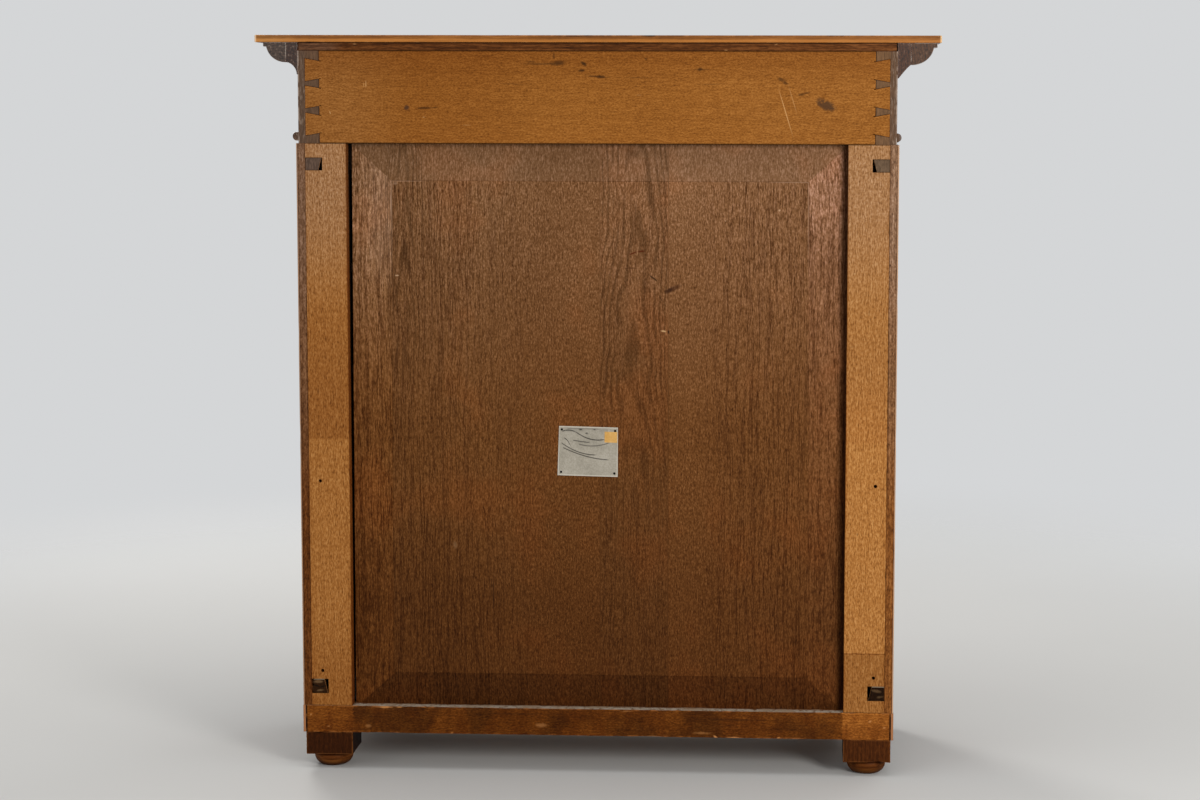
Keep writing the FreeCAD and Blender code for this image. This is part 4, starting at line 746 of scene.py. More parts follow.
def batten_oak():
    """The frame under the top: painted shade in its joints; paler at the left end, painted light at the right
    end.
    """
    t = dark_oak("batten_oak", "xzy", ((44, 20, 7), (90, 50, 20), (138, 84, 42)), 3.0)
    # Painted shade in the joint gaps under the top and over the hood.
    t.tint(t.z - TOP_FOOT, -0.0035, -0.001, 0.3)
    t.tint(t.z - HOOD_HEAD, 0.002, 0.0005, 0.35)
    t.tint(t.x, 0.58, 0.63, (1.27, 1.75, 3.6))
    # Painted light at the right-hand end.
    t.tint(t.x, -0.56, -0.62, (1.38, 1.48, 1.75))
    # Painted shade in the gaps at the ends.
    end = stops("hood_battens", "x")
    t.tint(abs(t.x) - end, -0.0025, 0.0005, 0.3)
    marks(t, (176, 128, 82), (
        (0.56, 1.716, 0.006, 0.002, 0, 0.6), (-0.415, 1.716, 0.006, 0.002, 20, 0.5),
        (-0.3, 1.703, 0.006, 0.002, 0, 0.6)), 0.2)
    return t.done(0.5, 0.001, 0.06)


def side_oak():
    """The raw back edges of the side boards."""
    t = dark_oak("side_oak", "zyx", ((62, 36, 20), (134, 92, 58), (196, 150, 110)), 11.0, streak=(60, 260),
                 pores=(170, 330))
    t.tint(t.z, 0.95, 1.3, (1.22, 1.48, 2.05))
    t.tint(t.z, 0.95, 0.6, (0.84, 0.62, 0.32))
    t.shade(t.left(), (0.62, 0.56, 0.52))
    t.tint(abs(t.x) - SIDE_OUT, -0.0035, -0.0005, (0.7, 0.62, 0.54))
    t.tint(abs(t.x) - POST_OUT, 0.0035, 0.0005, (0.7, 0.62, 0.54))
    return t.done(0.6, 0.001, 0.05)


def block_oak():
    """Foot blocks, in painted shade where they face inwards; the ones at the back are rubbed at their edges.
    """
    t = dark_oak("block_oak", "zxy", ((26, 9, 1), (64, 31, 7), (104, 58, 22)), 13.0, end=(44, 22, 8),
                 streak=(70, 210), grain=0.5, fleck=0.9)
    # Painted shade on the faces that look inwards.
    t.tint(t.x * t.nx, -0.3, -0.5, (0.25, 0.22, 0.2))
    t.shade(t.left(), (0.76, 0.7, 0.6))
    t.shade(1 - t.left(), (1.14, 1.1, 1.06))
    (_, _, foot), (outer, back, head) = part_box("foot_blocks")
    rub = edges(t, (outer - BLOCK_WIDTH, back - BLOCK_WIDTH, foot), (outer, back, head), 0.004)
    t.stain(rub * patches(t, 50.0, 0.36, 0.52) * t.ramp(t.y, 0.0, 0.1), (150, 92, 44), 0.45)
    return t.done(0.5, 0.001, 0.06)


def hood_side_polish():
    """Polished outside; at the back, end grain of laps and dovetail pins, with painted shade in the joints
    round the pins.
    """
    t = polished("hood_side_polish", "yzx", 17.0, end=(96, 71, 52), stub=(40, 480), end_ring=0.0,
                 ways=hood_wall)
    lap = t.end * t.ramp(abs(t.x) - LAP, -0.0015, 0.0015)
    t.shade(lap * t.left(), (0.88, 0.92, 1.0))
    t.shade((t.end - lap) * (1 - t.left()), (1.36, 1.3, 1.08))
    chalk = t.ramp(t.noise((t.x * 300, 0.0, t.z * 40), 3, 0.6), 0.52, 0.66)
    t.stain(lap * chalk, (164, 142, 124), 0.5)
    arris = t.end * t.ramp(abs(t.x) - HOOD_OUT, -0.0035, -0.0015)
    t.stain(arris * patches(t, 40.0, 0.38, 0.55), (190, 172, 158), 0.65)
    # Painted shade along the inner edge of the end grain and in the joint lines round the dovetail pins.
    t.shade(t.end * t.ramp(abs(t.x) - HOOD_IN, 0.003, 0.001), 0.3)
    inwards = (abs(t.x) - HOOD_IN) * (PIN_FLARE / (LAP - HOOD_IN))
    for middle, half in PINS:
        gap = half - abs(t.z - middle) - inwards
        rim = t.ramp(gap, 0.0022, 0.0006) * t.ramp(gap, -0.003, -0.001)
        t.shade(t.end * rim * t.ramp(abs(t.x) - LAP, 0.0005, -0.0005), 0.35)
    return t.done(0.3, 0.0008, 0.15)


def tenon_oak():
    """Bearers: pale inside the press, with grey tenon ends high up and dark, chopped ones low down."""
    t = dark_oak("tenon_oak", "yxz", ((78, 50, 26), (128, 86, 48), (164, 118, 74)), 19.0, end=(64, 45, 27),
                 stub=(300, 80), end_ring=0.0)
    high, left = t.ramp(t.z, 0.8, 0.9), t.left()
    low, right = 1 - high, 1 - left
    (_, _, foot), (outer, end, head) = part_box("top_bearers")
    # Painted shade round the high tenon ends.
    rim = edges(t, (outer - TENON_WIDTH, -end, foot), (outer, end, head), 0.0026)
    t.shade(t.end * rim, (0.36, 0.32, 0.28))
    t.shade(t.end * high, (2.2, 2.7, 4.6))
    t.shade(t.end * high * right, (1.2, 1.2, 1.0))
    t.shade(t.end * low * left, (1.4, 1.1, 0.7))
    t.shade(t.end * low * right, (0.74, 0.56, 0.38))
    # Painted highlight along the top edges of the low tenon ends.
    low_head = stops("bottom_bearers", "z")
    t.stain(t.end * t.ramp(t.z - low_head, -0.003, -0.0005) * low, (206, 186, 158), 0.7)
    # Painted shade, nearly black, in the notch and the mortises behind the tenon ends.
    t.shade(t.ramp(t.y - BACK, -0.0028, -0.0045) * t.ramp(t.y, 0.23, 0.24), 0.08)
    marks(t, (128, 98, 66), (
        (0.664, 0.211, 0.015, 0.005, 0, 0.6), (0.66, 0.19, 0.012, 0.0035, 6, 0.5),
        (-0.66, 0.207, 0.015, 0.005, -10, 0.35), (-0.668, 0.1925, 0.01, 0.004, 12, 0.3)), 0.3, 0.8)
    # Painted shade, nearly black, in the gaps and cracks at the low tenon ends.
    marks(t, (16, 10, 6), (
        (0.668, 0.201, 0.011, 0.0026, -18, 0.9), (0.653, 0.1992, 0.011, 0.0024, 16, 0.9),
        (-0.676, 0.184, 0.006, 0.0045, 30, 0.8), (-0.646, 0.185, 0.006, 0.0045, -30, 0.8),
        (-0.663, 0.199, 0.013, 0.0016, 8, 0.5)), 0.3, 0.4)
    return t.done(0.6, 0.001, 0.05)


def inside_oak(name, axes, ways=None):
    """Plain wood inside the press, with painted shade, nearly black, in the corners beside the back panel."""
    t = wood(name, axes, ((112, 72, 36), (156, 108, 62), (186, 142, 94)), 23.0, sway=0.03,
             rings=(0.02, 0.9, 0.5, 0.02), ring=0.2, streak=(4, 130), grain=0.9, blotch=0.5,
             pores=(20, 420), pore=0.35, fleck=0.5, end=(150, 110, 70), ways=ways)
    # Painted shade, nearly black, in the corners beside the back panel.
    t.shade(t.ramp(t.y, 0.205, 0.238) * t.ramp(abs(t.x), 0.5, 0.55), 0.06)
    return t.done(0.35, 0.0008, 0.15)


def veneer_polish():
    """Polished sides with bare, light edges."""
    t = polished("polish_side", "zyx", 37.0)
    t.stain(t.ramp(abs(t.ny), 0.5, 0.8), (200, 158, 122), 0.9)
    t.shade(t.ramp(t.ny, 0.5, 0.8) * t.left(), (0.72, 0.68, 0.64))
    return gloss(t)


def cornice_polish():
    """Polished in front, with grey, speckled end grain at the back: warmer on the right and on the coves."""
    t = polished("cornice_polish", "yxz", 41.0, end=(74, 61, 52), stub=(190, 150), ways=round_the_corner,
                 rings=(0.006, 0.73, 1.6, 0.0))
    left, glue_line = t.left(), stops("cornice_coves", "x")
    cove = t.end * t.ramp(abs(t.x) - glue_line, 0.0015, -0.0015)
    t.shade(cove, (0.8, 0.64, 0.52))
    t.shade(cove * left, (0.76, 0.56, 0.38))
    t.shade(t.end, (0.78, 0.66, 0.6))
    t.shade(t.end * (1 - left), (1.2, 0.82, 0.42))
    t.shade(t.end * t.ramp(t.speck, 0.46, 0.38), (0.5, 0.46, 0.42))
    t.stain(t.end * t.ramp(t.speck, 0.57, 0.67) * (left * 0.6 + 0.4), (132, 116, 104), 0.6)
    worn_and_highlit_rim(t, (196, 182, 168), 0.7)
    return gloss(t)


def bead_polish():
    """Polished, with grey end grain at the back and rubbed bare towards the right-hand end."""
    t = polished("bead_polish", "yxz", 43.0, end=(84, 64, 50), stub=(190, 150), ways=round_the_corner)
    t.stain(t.end * t.ramp(t.speck, 0.6, 0.7), (176, 162, 150), 0.5)
    worn_and_highlit_rim(t, (196, 182, 168), 0.7)
    bare = t.ramp(t.y, 0.205, 0.225) * t.ramp(t.x, -0.6, -0.65)
    t.stain(bare, (96, 72, 54), 0.8)
    t.rough = t.mix(bare, t.rough + 0.12, (0.8, 0.8, 0.8))
    return t.done(0.12, 0.0005, 0.2)


def bun_polish():
    """Turned feet, in painted shade towards the floor and painted shadow under the blocks, with one scratched
    line.
    """
    foot_head, line = stops("bun_feet", "z"), 0.0185
    t = polished("bun_polish", "xzy", 47.0, ((60, 28, 7), (112, 60, 20), (150, 90, 38)), end=(96, 52, 20))
    # Painted shadow under the blocks.
    t.tint(t.z - foot_head, -0.01, -0.003, (0.35, 0.28, 0.22))
    t.tint(abs(t.z - line), 0.0016, 0.0006, (0.6, 0.52, 0.45))
    # Painted shade, darker towards the floor.
    t.tint(t.z, foot_head, 0.0, (0.42, 0.46, 0.5))
    t.rough = t.rough + 0.25
    return t.done(0.3, 0.0006, 0.06)


def facing_polish():
    """Polished plinth facings, raw at their back ends."""
    t = polished("facing_polish", "yzx", 53.0)
    t.stain(t.ramp(t.ny, 0.7, 0.9), (172, 110, 60), 0.85)
    return gloss(t)


material = {
    "hood": hood_oak(), "top": top_oak(), "post": post_oak(), "panel": panel_oak(), "rail": rail_oak(),
    "batten": batten_oak(), "side": side_oak(), "block": block_oak(), "tenon": tenon_oak(),
    "hood_side": hood_side_polish(), "cornice": cornice_polish(), "bead": bead_polish(),
    "bun": bun_polish(), "facing": facing_polish(), "flame": flame(), "polish_side": veneer_polish(),
    "polish_x": gloss(polished("polish_x", "xzy", 31.0)),
    "polish_z": gloss(polished("polish_z", "zxy", 29.0)),
    "inside_x": inside_oak("inside_x", "xyz"), "inside_y": inside_oak("inside_y", "yxz"),
    "inside_z": inside_oak("inside_z", "zxy"), "drawer": inside_oak("drawer", "yxz", drawer_box),
    "card": card_paper(), "patch": patch_paper(),
    "brass": metal("old_brass", ((96, 70, 32), (168, 130, 68), (206, 172, 106)), 0.36, 0.9, (74, 56, 30)),
    "iron": metal("old_iron", ((30, 27, 25), (58, 53, 49), (92, 86, 80)), 0.48, 0.7, (84, 48, 28)),
    "black": metal("blackened_iron", ((4, 4, 3), (10, 9, 8), (20, 18, 16)), 0.75, 0.0, (30, 20, 14), 0.06),
}


# Pieces

def solids(mesh):
    """The points of a CAD mesh and the faces of each of its closed solids, which follow one another."""
    key, number = {}, []
    for v in mesh.vertices:
        number.append(key.setdefault(tuple(round(c * 1e6) for c in v.co), len(key)))
    points = [None] * len(key)
    for v, n in zip(mesh.vertices, number):
        points[n] = v.co.copy()
    found, faces, open_sides = [], [], set()
    for polygon in mesh.polygons:
        face = [number[v] for v in polygon.vertices]
        if len(set(face)) == 3:
            faces.append(face)
            for pair in zip(face, face[1:] + face[:1]):
                open_sides ^= {tuple(sorted(pair))}
        if not open_sides and faces:
            found.append(faces)
            faces = []
    return points, found


def sharp(bm, angle=25.0):
    return [e for e in bm.edges if e.is_manifold and e.calc_face_angle() > math.radians(angle)]


def as_mesh(bm, name, crease=None):
    """Ends a bmesh; edges sharper than crease degrees stay sharp in smooth shading."""
    bmesh.ops.recalc_face_normals(bm, faces=bm.faces)
    for face in bm.faces:
        face.smooth = True
    if crease is not None:
        for e in sharp(bm, crease):
            e.smooth = False
    mesh = bpy.data.meshes.new(name)
    bm.to_mesh(mesh)
    bm.free()
    return mesh


def new_piece(name, mesh, finish, body, node=None):
    """Puts a finished mesh into the scene on a body, in place of a CAD node where one is named."""
    mesh.materials.clear()
    mesh.materials.append(material[finish])
    piece = bpy.data.objects.new(name, mesh)
    bpy.context.scene.collection.objects.link(piece)
    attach(piece, body)
    if node:
        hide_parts(node)
    return piece


def wander_edges(bm, reach, chips, seed):
    """Lets the sharp edges of a board wander inwards a little, with a few deeper chips."""
    dice = random.Random(seed)
    added = []
    for e in sharp(bm):
        cuts = min(48, int(e.calc_length() / 0.03))
        for i in range(cuts):
            start = e.verts[0]
            e, v = bmesh.utils.edge_split(e, start, 1.0 / (cuts + 1 - i))
            added.append(v)
            e = next(x for x in v.link_edges if start not in x.verts)
    bm.normal_update()
    moves = []
    for v in added:
        inwards = -sum((face.normal for face in v.link_faces), Vector())
        amount = reach * max(0.0, 0.5 + 0.5 * lumps(v.co * 17.0 + Vector((seed, 0, 0))))
        if dice.random() < chips / 100:
            amount += reach * dice.uniform(1.5, 4.0)
        moves.append((v, inwards.normalized() * amount))
    for v, move in moves:
        v.co += move
    bm.normal_update()


def worn_mesh(node, bevel, wander, chips, seed):
    """A CAD node's own shape with rounded, slightly uneven edges."""
    points, found = solids(nodes[node].data)
    joined = bmesh.new()
    for faces in found:
        bm = bmesh.new()
        used = {n: bm.verts.new(points[n]) for n in sorted({n for face in faces for n in face})}
        for face in faces:
            bm.faces.new([used[n] for n in face])
        bmesh.ops.recalc_face_normals(bm, faces=bm.faces)
        bmesh.ops.dissolve_limit(bm, angle_limit=math.radians(0.4), verts=bm.verts, edges=bm.edges)
        if wander:
            wander_edges(bm, wander, chips, seed)
        if bevel:
            bmesh.ops.bevel(bm, geom=sharp(bm), offset=bevel, offset_type="OFFSET", segments=2, profile=0.5,
                            affect="EDGES", clamp_overlap=True)
        part = as_mesh(bm, "part")
        joined.from_mesh(part)
        bpy.data.meshes.remove(part)
    low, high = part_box(node)
    for v in joined.verts:
        v.co = Vector([min(max(value, a), b) for value, a, b in zip(v.co, low, high)])
    return as_mesh(joined, "worn_" + node)


def add_box(bm, low, high):
    """A box between two corners."""
    size = Vector(high) - Vector(low)
    middle = (Vector(high) + Vector(low)) / 2
    bmesh.ops.create_cube(bm, size=1.0, matrix=Matrix.Translation(middle) @ Matrix.Diagonal((*size, 1.0)))


def border(wide, tall):
    """The outermost places of a grid, once round from its first corner."""
    return ([(i, 0) for i in range(wide)] + [(wide, j) for j in range(tall)]
            + [(wide - i, tall) for i in range(wide)] + [(0, tall - j) for j in range(tall)])


def add_grid(bm, grid, wide, tall):
    """Faces between the points of a grid."""
    for i in range(wide):
        for j in range(tall):
            bm.faces.new((grid[i, j], grid[i + 1, j], grid[i + 1, j + 1], grid[i, j + 1]))


def add_band(bm, first, second):
    """Faces between two closed rows of points."""
    for i in range(len(first)):
        j = (i + 1) % len(first)
        bm.faces.new((first[i], first[j], second[j], second[i]))


def carve(piece, bm):
    """Cuts the closed forms in bm out of a piece."""
    cutter = bpy.data.objects.new("cuts", as_mesh(bm, "cuts"))
    bpy.context.scene.collection.objects.link(cutter)
    cut = piece.modifiers.new("cuts", "BOOLEAN")
    cut.operation, cut.solver, cut.object = "DIFFERENCE", "EXACT", cutter
    bpy.context.view_layer.update()
    piece.data = bpy.data.meshes.new_from_object(piece.evaluated_get(bpy.context.evaluated_depsgraph_get()))
    piece.modifiers.remove(cut)
    bpy.data.objects.remove(cutter)


DRESS = {
    # node: finish, rounding of its edges and, where they are worn, how far they wander and chips in a hundred
    "top_board": ("top", 0.0018, 0.0003, 2), "hood_battens": ("batten", 0.0008, 0.0003, 4),
    "hood_back": ("hood", 0.0008), "hood_side_left": ("hood_side", 0.0008),
    "hood_side_right": ("hood_side", 0.0008), "hood_front_rail": ("polish_x", 0.001),
    "hood_floor": ("inside_x", 0.001), "hood_dowels": ("inside_z", 0.001),
    "cornice_ovolos": ("cornice", 0.0014), "cornice_coves": ("cornice", 0.0012),
    "hood_beads": ("bead", 0.0014), "back_post_left": ("post", 0.0014, 0.0004, 3),
    "back_post_right": ("post", 0.0014, 0.0004, 3), "front_post_left": ("polish_z", 0.0015),
    "front_post_right": ("polish_z", 0.0015), "side_board_left": ("side", 0.0008, 0.0003, 3),
    "side_board_right": ("side", 0.0008, 0.0003, 3), "side_veneer_left": ("polish_side", 0.0006, 0.0003, 3),
    "side_veneer_right": ("polish_side", 0.0006, 0.0003, 3), "top_bearers": ("tenon", 0.0009),
    "bottom_bearers": ("tenon", 0.0014), "top_front_rail": ("polish_x", 0.001),
    "top_back_rail": ("inside_x", 0.001), "bottom_front_rail": ("polish_x", 0.001),
    "floor_board": ("inside_x", 0.001), "shelves": ("inside_x", 0.0012, 0.0005, 4),
    "shelf_cleats": ("inside_y", 0.0012), "base_back_rail": ("rail", 0.0012, 0.0004, 5),
    "base_front_rail": ("rail", 0.001), "base_side_rails": ("inside_y", 0.001),
    "plinth_facing_front": ("polish_x", 0.0008), "plinth_facing_sides": ("facing", 0.0008, 0.0003, 3),
    "foot_blocks": ("block", 0.0016, 0.0006, 6), "bun_feet": ("bun", 0.0),
    "left_door_stiles": ("polish_z", 0.001), "right_door_stiles": ("polish_z", 0.001),
    "left_door_rails": ("polish_x", 0.001), "right_door_rails": ("polish_x", 0.001),
    "left_door_panel": ("flame", 0.0005), "right_door_panel": ("flame", 0.0005),
    "left_door_moulding": ("polish_z", 0.0005), "right_door_moulding": ("polish_z", 0.0005),
    "drawer_front": ("polish_x", 0.0012), "drawer_bead": ("polish_x", 0.0005),
    "drawer_walls": ("drawer", 0.001), "drawer_bottom": ("inside_x", 0.0006),
    "hinge_post_leaves": ("brass", 0.0003), "hinge_pins": ("brass", 0.0003),
    "left_hinge_leaves": ("brass", 0.0003), "right_hinge_leaves": ("brass", 0.0003),
    "escutcheon": ("brass", 0.0004), "lock_case": ("iron", 0.0006), "lock_bolt": ("iron", 0.0006),
    "door_key": ("iron", 0.0006), "left_bolt_guides": ("iron", 0.0004), "left_top_bolt": ("iron", 0.0006),
    "left_bottom_bolt": ("iron", 0.0006),
}


def saw_marks():
    """Slots where the saw ran past the corners of the dovetail pins into the hood's back."""
    run, half, depth, beyond = 0.0045, 0.001, 0.008, 0.002
    pin_corners = [round(middle + way * size, 3) for middle, size in PINS for way in (-1, 1)][1:-1]
    bm = bmesh.new()
    for side in (-1, 1):
        near, far = sorted((side * HOOD_IN, side * (HOOD_IN - run)))
        for z in pin_corners:
            add_box(bm, (near, BACK - depth, z - half), (far, BACK + beyond, z + half))
    return bm


def hole_mouths(side):
    """The frayed mouths of the fixing holes in a back post."""
    profile = ((0.0037, 0.0), (0.0033, 0.005), (0.0, 0.006))
    bm = bmesh.new()
    for x, z in HOLE_PLACES:
        if x * side > 0:
            turned(bm, (x, BACK + 0.001, z), (0, -1, 0), profile, 11)
    return bm


def chopped_corners():
    """The low tenon at the left of the back was chopped off at its outer corners and notched between them."""
    (_, _, low), (outer, y_back, high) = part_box("bottom_bearers")
    beyond, depth = 0.002, 0.009
    bm = bmesh.new()
    for z, way, across, along in ((high, -1, 0.0085, 0.0075), (low, 1, 0.0105, 0.009)):
        outline = [(outer + beyond, z - way * beyond), (outer - across, z - way * beyond),
                   (outer - across, z), (outer - across * 0.3, z + way * along * 0.35),
                   (outer, z + way * along), (outer + beyond, z + way * along)]
        ends = [[bm.verts.new((x, y, up)) for x, up in outline] for y in (y_back - depth, y_back + beyond)]
        bm.faces.new(ends[0])
        bm.faces.new(list(reversed(ends[1])))
        add_band(bm, *ends)
    turned(bm, (outer, y_back + beyond, (low + high) / 2 + 0.003), (0, -1, 0),
           ((0.004, 0.0), (0.0036, depth), (0.0, depth + 0.0005)), 12)
    return bm


def wear_end(mesh, first, last, move):
    """Changes a moulding at the end of its right-hand run: move gets a point beyond the hood's wall and
    how far along the change it lies, from 0 to 1."""
    wall = starts("hood_side_left", "x")
    bm = bmesh.new()
    bm.from_mesh(mesh)
    for y in (first, (first + last) / 2, last):
        bmesh.ops.bisect_plane(bm, geom=bm.verts[:] + bm.edges[:] + bm.faces[:], plane_co=(0, y, 0),
                               plane_no=(0, 1, 0))
    for v in bm.verts:
        if v.co.x < wall and v.co.y > first:
            move(v.co, wall, min(1.0, (v.co.y - first) / (last - first)))
    bm.to_mesh(mesh)
    bm.free()


def rub_bead(point, wall, share):
    """The hood's bead is rubbed away towards its end."""
    point.x = wall + (point.x - wall) * (1 - 0.55 * share)


def swell(point, wall, share):
    """The cornice is a little larger at its end."""
    top = stops("cornice_coves", "z")
    point.x = wall + (point.x - wall) * (1 + 0.13 * share)
    point.z = top + (point.z - top) * (1 + 0.09 * share)


def fill_cove(point, wall, share):
    """The cove is left fuller at the end of the cornice, nearly straight from its foot to the ovolo."""
    foot, head = starts("cornice_coves", "z"), starts("cornice_ovolos", "z")
    near, far, bevel = 0.002, 0.027, 0.0016
    out = near + (far - near) * (point.z - foot) / (head - foot)
    if foot < point.z < head and bevel < wall - point.x < out:
        point.x -= (out - (wall - point.x)) * 0.8 * share
    swell(point, wall, share)


def dress_nodes():
    """Every plain CAD node gets its worn copy; the mouldings change between two places near their ends."""
    bead_change, cornice_change = (0.215, 0.265), (0.12, 0.27)
    for count, (node, (finish, bevel, *wear)) in enumerate(DRESS.items()):
        wander, chips = wear or (0.0, 0)
        mesh = worn_mesh(node, bevel, wander, chips, count + 1)
        if node == "hood_beads":
            wear_end(mesh, *bead_change, rub_bead)
        elif node.startswith("cornice"):
            wear_end(mesh, *cornice_change, fill_cove if node == "cornice_coves" else swell)
        piece = new_piece("worn_" + node, mesh, finish, body_of[node], node)
        if node == "hood_back":
            carve(piece, saw_marks())
        elif node.startswith("back_post"):
            carve(piece, hole_mouths(starts(node, "x")))
        elif node == "bottom_bearers":
            carve(piece, chopped_corners())
        flat = piece.modifiers.new("flat_faces", "WEIGHTED_NORMAL")
        flat.keep_sharp = True


def panel_rings():
    """Corners of the raised panel's rings from the inside out: back, thin edge, foot, middle and head of the
    slopes, and a small step round the field."""
    step, rounding, top_left_lean = 0.001, 0.0022, 0.008
    points = solids(nodes["back_panel"].data)[0]
    ways = ((-1, -1), (1, -1), (1, 1), (-1, 1))

    def farthest(here):
        return [max(here, key=lambda p, w=way: w[0] * p.x + w[1] * p.z) for way in ways]

    def inset(ring, distance, level):
        return [Vector((p.x - way[0] * distance, level, p.z - way[1] * distance))
                for p, way in zip(ring, ways)]

    at_edge, at_face = ([p for p in points if abs(p.y - level) < 1e-4] for level in (PANEL_EDGE, PANEL_FACE))
    edge, field = farthest(at_edge), farthest(at_face)
    foot = farthest([p for p in at_edge if p not in edge])
    field[3] = field[3] + Vector((top_left_lean, 0, 0))
    slope_head = inset(field, -step / 2, PANEL_FACE - step)
    slope_middle = [(a + b) / 2 for a, b in zip(foot, slope_head)]
    return [inset(edge, 0.0, starts("back_panel", "y")), edge, foot, slope_middle, slope_head,
            inset(field, 0.0, PANEL_FACE - step / 2), inset(field, rounding, PANEL_FACE)]


def back_panel():
    """The raised panel, with uneven slopes and slightly cupped boards."""
    count, slope_waves, cup = 36, 0.0003, 0.00012
    bm = bmesh.new()
    rings = panel_rings()
    lines = []
    for number, ring in enumerate(rings):
        line = []
        for k in range(4):
            for i in range(count):
                p = ring[k].lerp(ring[(k + 1) % 4], i / count)
                if number == 3 and i:
                    p.y += slope_waves * lumps(p * 9.0)
                line.append(bm.verts.new(p))
        lines.append(line)
    bm.faces.new(list(reversed(lines[0])))
    for first, second in zip(lines, lines[1:]):
        add_band(bm, first, second)
    low_left, low_right, top_right, top_left = rings[-1]
    grid = dict(zip(border(count, count), lines[-1]))
    for i in range(1, count):
        for j in range(1, count):
            low, top = low_left.lerp(low_right, i / count), top_left.lerp(top_right, i / count)
            p = low.lerp(top, j / count)
            p.y -= cup * (0.5 + 0.5 * lumps(Vector((p.x * 11.0, 0.0, p.z * 2.0))))
            grid[i, j] = bm.verts.new(p)
    add_grid(bm, grid, count, count)
    mesh = as_mesh(bm, "back_panel_boards", 2.5)
    new_piece("back_panel_boards", mesh, "panel", "press", "back_panel")


def sheet(name, finish, low, high, steps, out, thickness, node=None):
    """A thin sheet on the card's plane; out gives how far each point of it stands off the panel."""
    wide, tall = steps
    bm = bmesh.new()
    layers = []
    for drop in (0.0, thickness):
        layer = {}
        for i in range(wide + 1):
            for j in range(tall + 1):
                across = low[0] + (high[0] - low[0]) * i / wide
                up = low[1] + (high[1] - low[1]) * j / tall
                narrow = 1 - CARD_TAPER * (1 + up / CARD_HALF[1])
                layer[i, j] = bm.verts.new(card_place(across * narrow, up, out(across, up) - drop))
        layers.append(layer)
    for layer in layers:
        add_grid(bm, layer, wide, tall)
    add_band(bm, *([layer[place] for place in border(wide, tall)] for layer in layers))
    new_piece(name, as_mesh(bm, name, 40.0), finish, "press", node)


def card_lift(across, up):
    """How far the card stands off the panel: pinned at the corners, bowed between them, ridged at creases."""
    u, v = across / CARD_HALF[0], up / CARD_HALF[1]
    lift = 0.0006 + 0.001 * (1 - u * u) * max(0.0, -v) ** 2 + 0.0006 * (1 - v * v) * u * u
    for low, high, a, b, c, dark in CREASES:
        if low < across < high:
            off = abs(up - (a + b * across + c * across * across))
            lift += 0.0005 * dark * max(0.0, 1 - off / 0.004)
    return lift + 0.0002 * lumps(Vector((across * 60, up * 60, 3.0)))


def turned(bm, place, axis, profile, sides=20):
    """A turned form on a place: profile lists radius and height along the axis, starting on the surface."""
    turn = Vector(axis).to_track_quat("Z", "Y").to_matrix()
    rings = []
    for radius, height in profile:
        if radius == 0.0:
            rings.append([bm.verts.new(Vector(place) + turn @ Vector((0, 0, height)))])
            continue
        ring = []
        for k in range(sides):
            angle = math.tau * k / sides
            spoke = Vector((radius * math.cos(angle), radius * math.sin(angle), height))
            ring.append(bm.verts.new(Vector(place) + turn @ spoke))
        rings.append(ring)
    for a, b in zip(rings, rings[1:]):
        for k in range(sides):
            quad = [a[k], a[(k + 1) % sides], b[(k + 1) % len(b)], b[k % len(b)]]
            bm.faces.new(list(dict.fromkeys(quad)))
    bm.faces.new(list(reversed(rings[0])))


def card_and_patch():
    """The pinned card, its blank paper patch and four tack heads."""
    sheet("pinned_card", "card", (-CARD_HALF[0], -CARD_HALF[1]), CARD_HALF, (64, 52), card_lift, 0.0005,
          "back_card")
    sheet("card_patch", "patch", (0.039, 0.0225), (0.0695, 0.048), (10, 8),
          lambda across, up: card_lift(across, up) + 0.0004, 0.0003)
    drawn_in = 0.96
    dome = ((0.0028, -0.0006), (0.0028, 0.0003), (0.0024, 0.0008), (0.0015, 0.0012), (0.0, 0.0014))
    bm = bmesh.new()
    points, found = solids(nodes["card_tacks"].data)
    for faces in found:
        here = [points[n] for n in {n for face in faces for n in face}]
        middle = CARD_MIDDLE.lerp(sum(here, Vector()) / len(here), drawn_in)
        middle.y = min(p.y for p in here)
        turned(bm, middle, (0, 1, 0), dome)
    new_piece("tack_heads", as_mesh(bm, "tack_heads", 50.0), "black", "press", "card_tacks")


dress_nodes()
back_panel()
card_and_patch()


# Floor, light and camera

def plain_floor():
    """A pale floor that keeps the shadow and fades into the background some way off."""
    t = Tree("pale_floor")
    cloud = t.noise(t.place, 3, 0.5, scale=0.6)
    t.colour = t.shades(cloud, [(0.3, (0.6, 0.6, 0.59)), (0.7, (0.63, 0.63, 0.62))])
    t.rough = cloud * 0.1 + 0.8
    reach = t.math("SQRT", t.x * t.x + t.y * t.y)
    return t.done(specular=0.1, Alpha=t.ramp(reach, 4.5, 1.7))


bm = bmesh.new()
bmesh.ops.create_grid(bm, x_segments=4, y_segments=4, size=5.0)
floor = bpy.data.objects.new("floor", as_mesh(bm, "floor"))
floor.data.materials.append(plain_floor())
bpy.context.scene.collection.objects.link(floor)


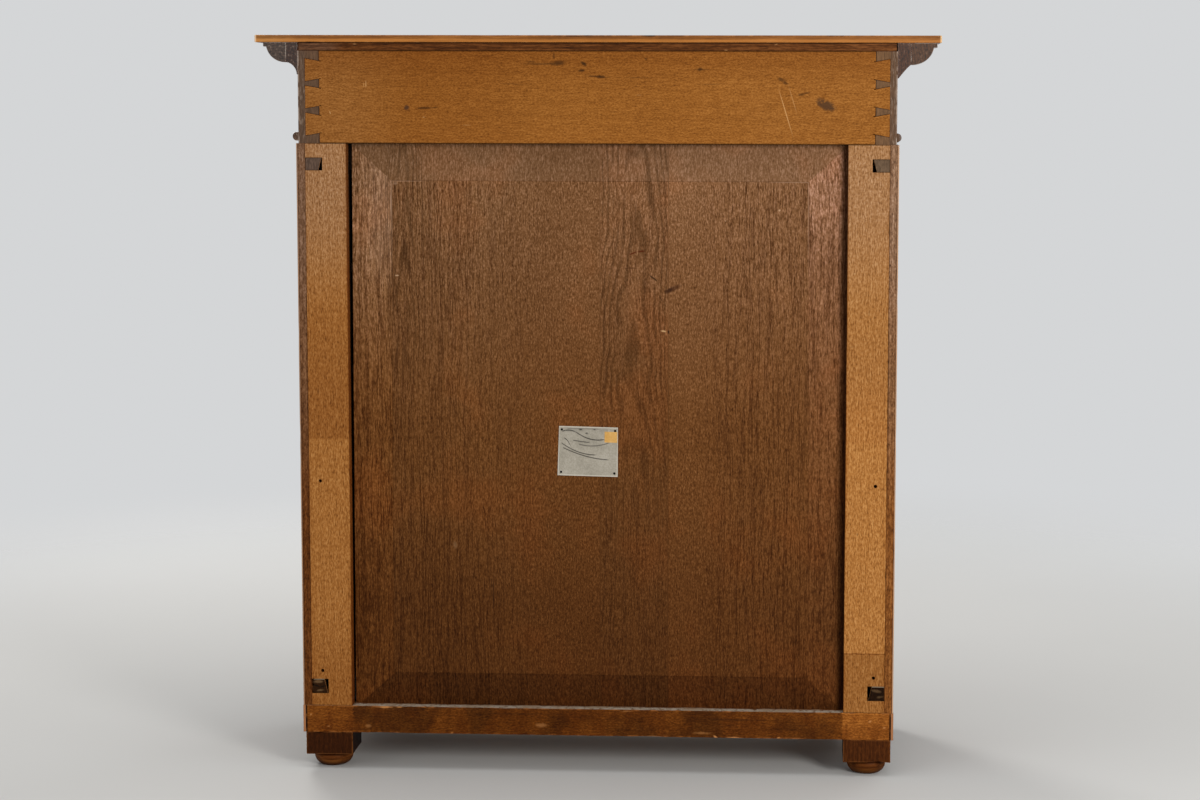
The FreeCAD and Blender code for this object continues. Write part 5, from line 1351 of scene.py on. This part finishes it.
def studio_world(light, background):
    """Even light all round, and a pale background for what the camera and the polish see."""
    world = bpy.data.worlds.new("studio")
    bpy.context.scene.world = world
    graph = Graph(world)
    seen = graph.add("LightPath", output="Is Camera Ray")
    for ray in ("Is Glossy Ray", "Is Transmission Ray"):
        seen = graph.math("MAXIMUM", seen, graph.add("LightPath", output=ray))
    light, background = (graph.add("Background", {"Color": colour, "Strength": strength})
                         for colour, strength in (light, background))
    graph.add("OutputWorld", {"Surface": graph.add("MixShader", {0: seen, 1: light, 2: background})})


def lamp(name, place, aim, size, power, colour=(1.0, 1.0, 1.0)):
    light = bpy.data.lights.new(name, "AREA")
    light.shape, light.size, light.energy, light.color = "DISK", size, power, colour
    holder = bpy.data.objects.new(name, light)
    holder.location = place
    holder.rotation_euler = (Vector(aim) - Vector(place)).to_track_quat("-Z", "Y").to_euler()
    holder.visible_camera = False
    bpy.context.scene.collection.objects.link(holder)


studio_world(((1.0, 0.99, 0.97), 0.36), ((0.66, 0.67, 0.68), 1.0))
lamp("back_key", (-3.0, 4.2, 2.1), (0.0, 0.3, 0.9), 1.6, 140, (1.0, 0.98, 0.95))
lamp("back_fill", (3.2, 3.6, 1.8), (0.0, 0.3, 0.9), 2.4, 20, (0.96, 0.98, 1.0))
lamp("front_key", (2.4, -4.2, 3.0), (0.0, -0.2, 0.9), 1.8, 120, (1.0, 0.98, 0.95))
lamp("front_fill", (-3.2, -3.6, 1.8), (0.0, -0.2, 0.9), 2.4, 40, (0.96, 0.98, 1.0))
lamp("overhead", (0.0, 0.6, 5.2), (0.0, 0.0, 0.0), 3.0, 70)

camera = bpy.data.cameras.new("camera")
camera.lens, camera.sensor_width, camera.sensor_fit = 72.0, 36.0, "HORIZONTAL"
camera.shift_x, camera.shift_y = -0.0723, -0.0382
camera.clip_end = 200.0
eye = bpy.data.objects.new("camera", camera)
eye.location = (-0.4836, 5.8498, 1.5621)
eye.rotation_euler = tuple(math.radians(v) for v in (84.232, -0.149, -177.181))
bpy.context.scene.collection.objects.link(eye)
bpy.context.scene.camera = eye
bpy.context.scene.view_settings.view_transform = "Standard"
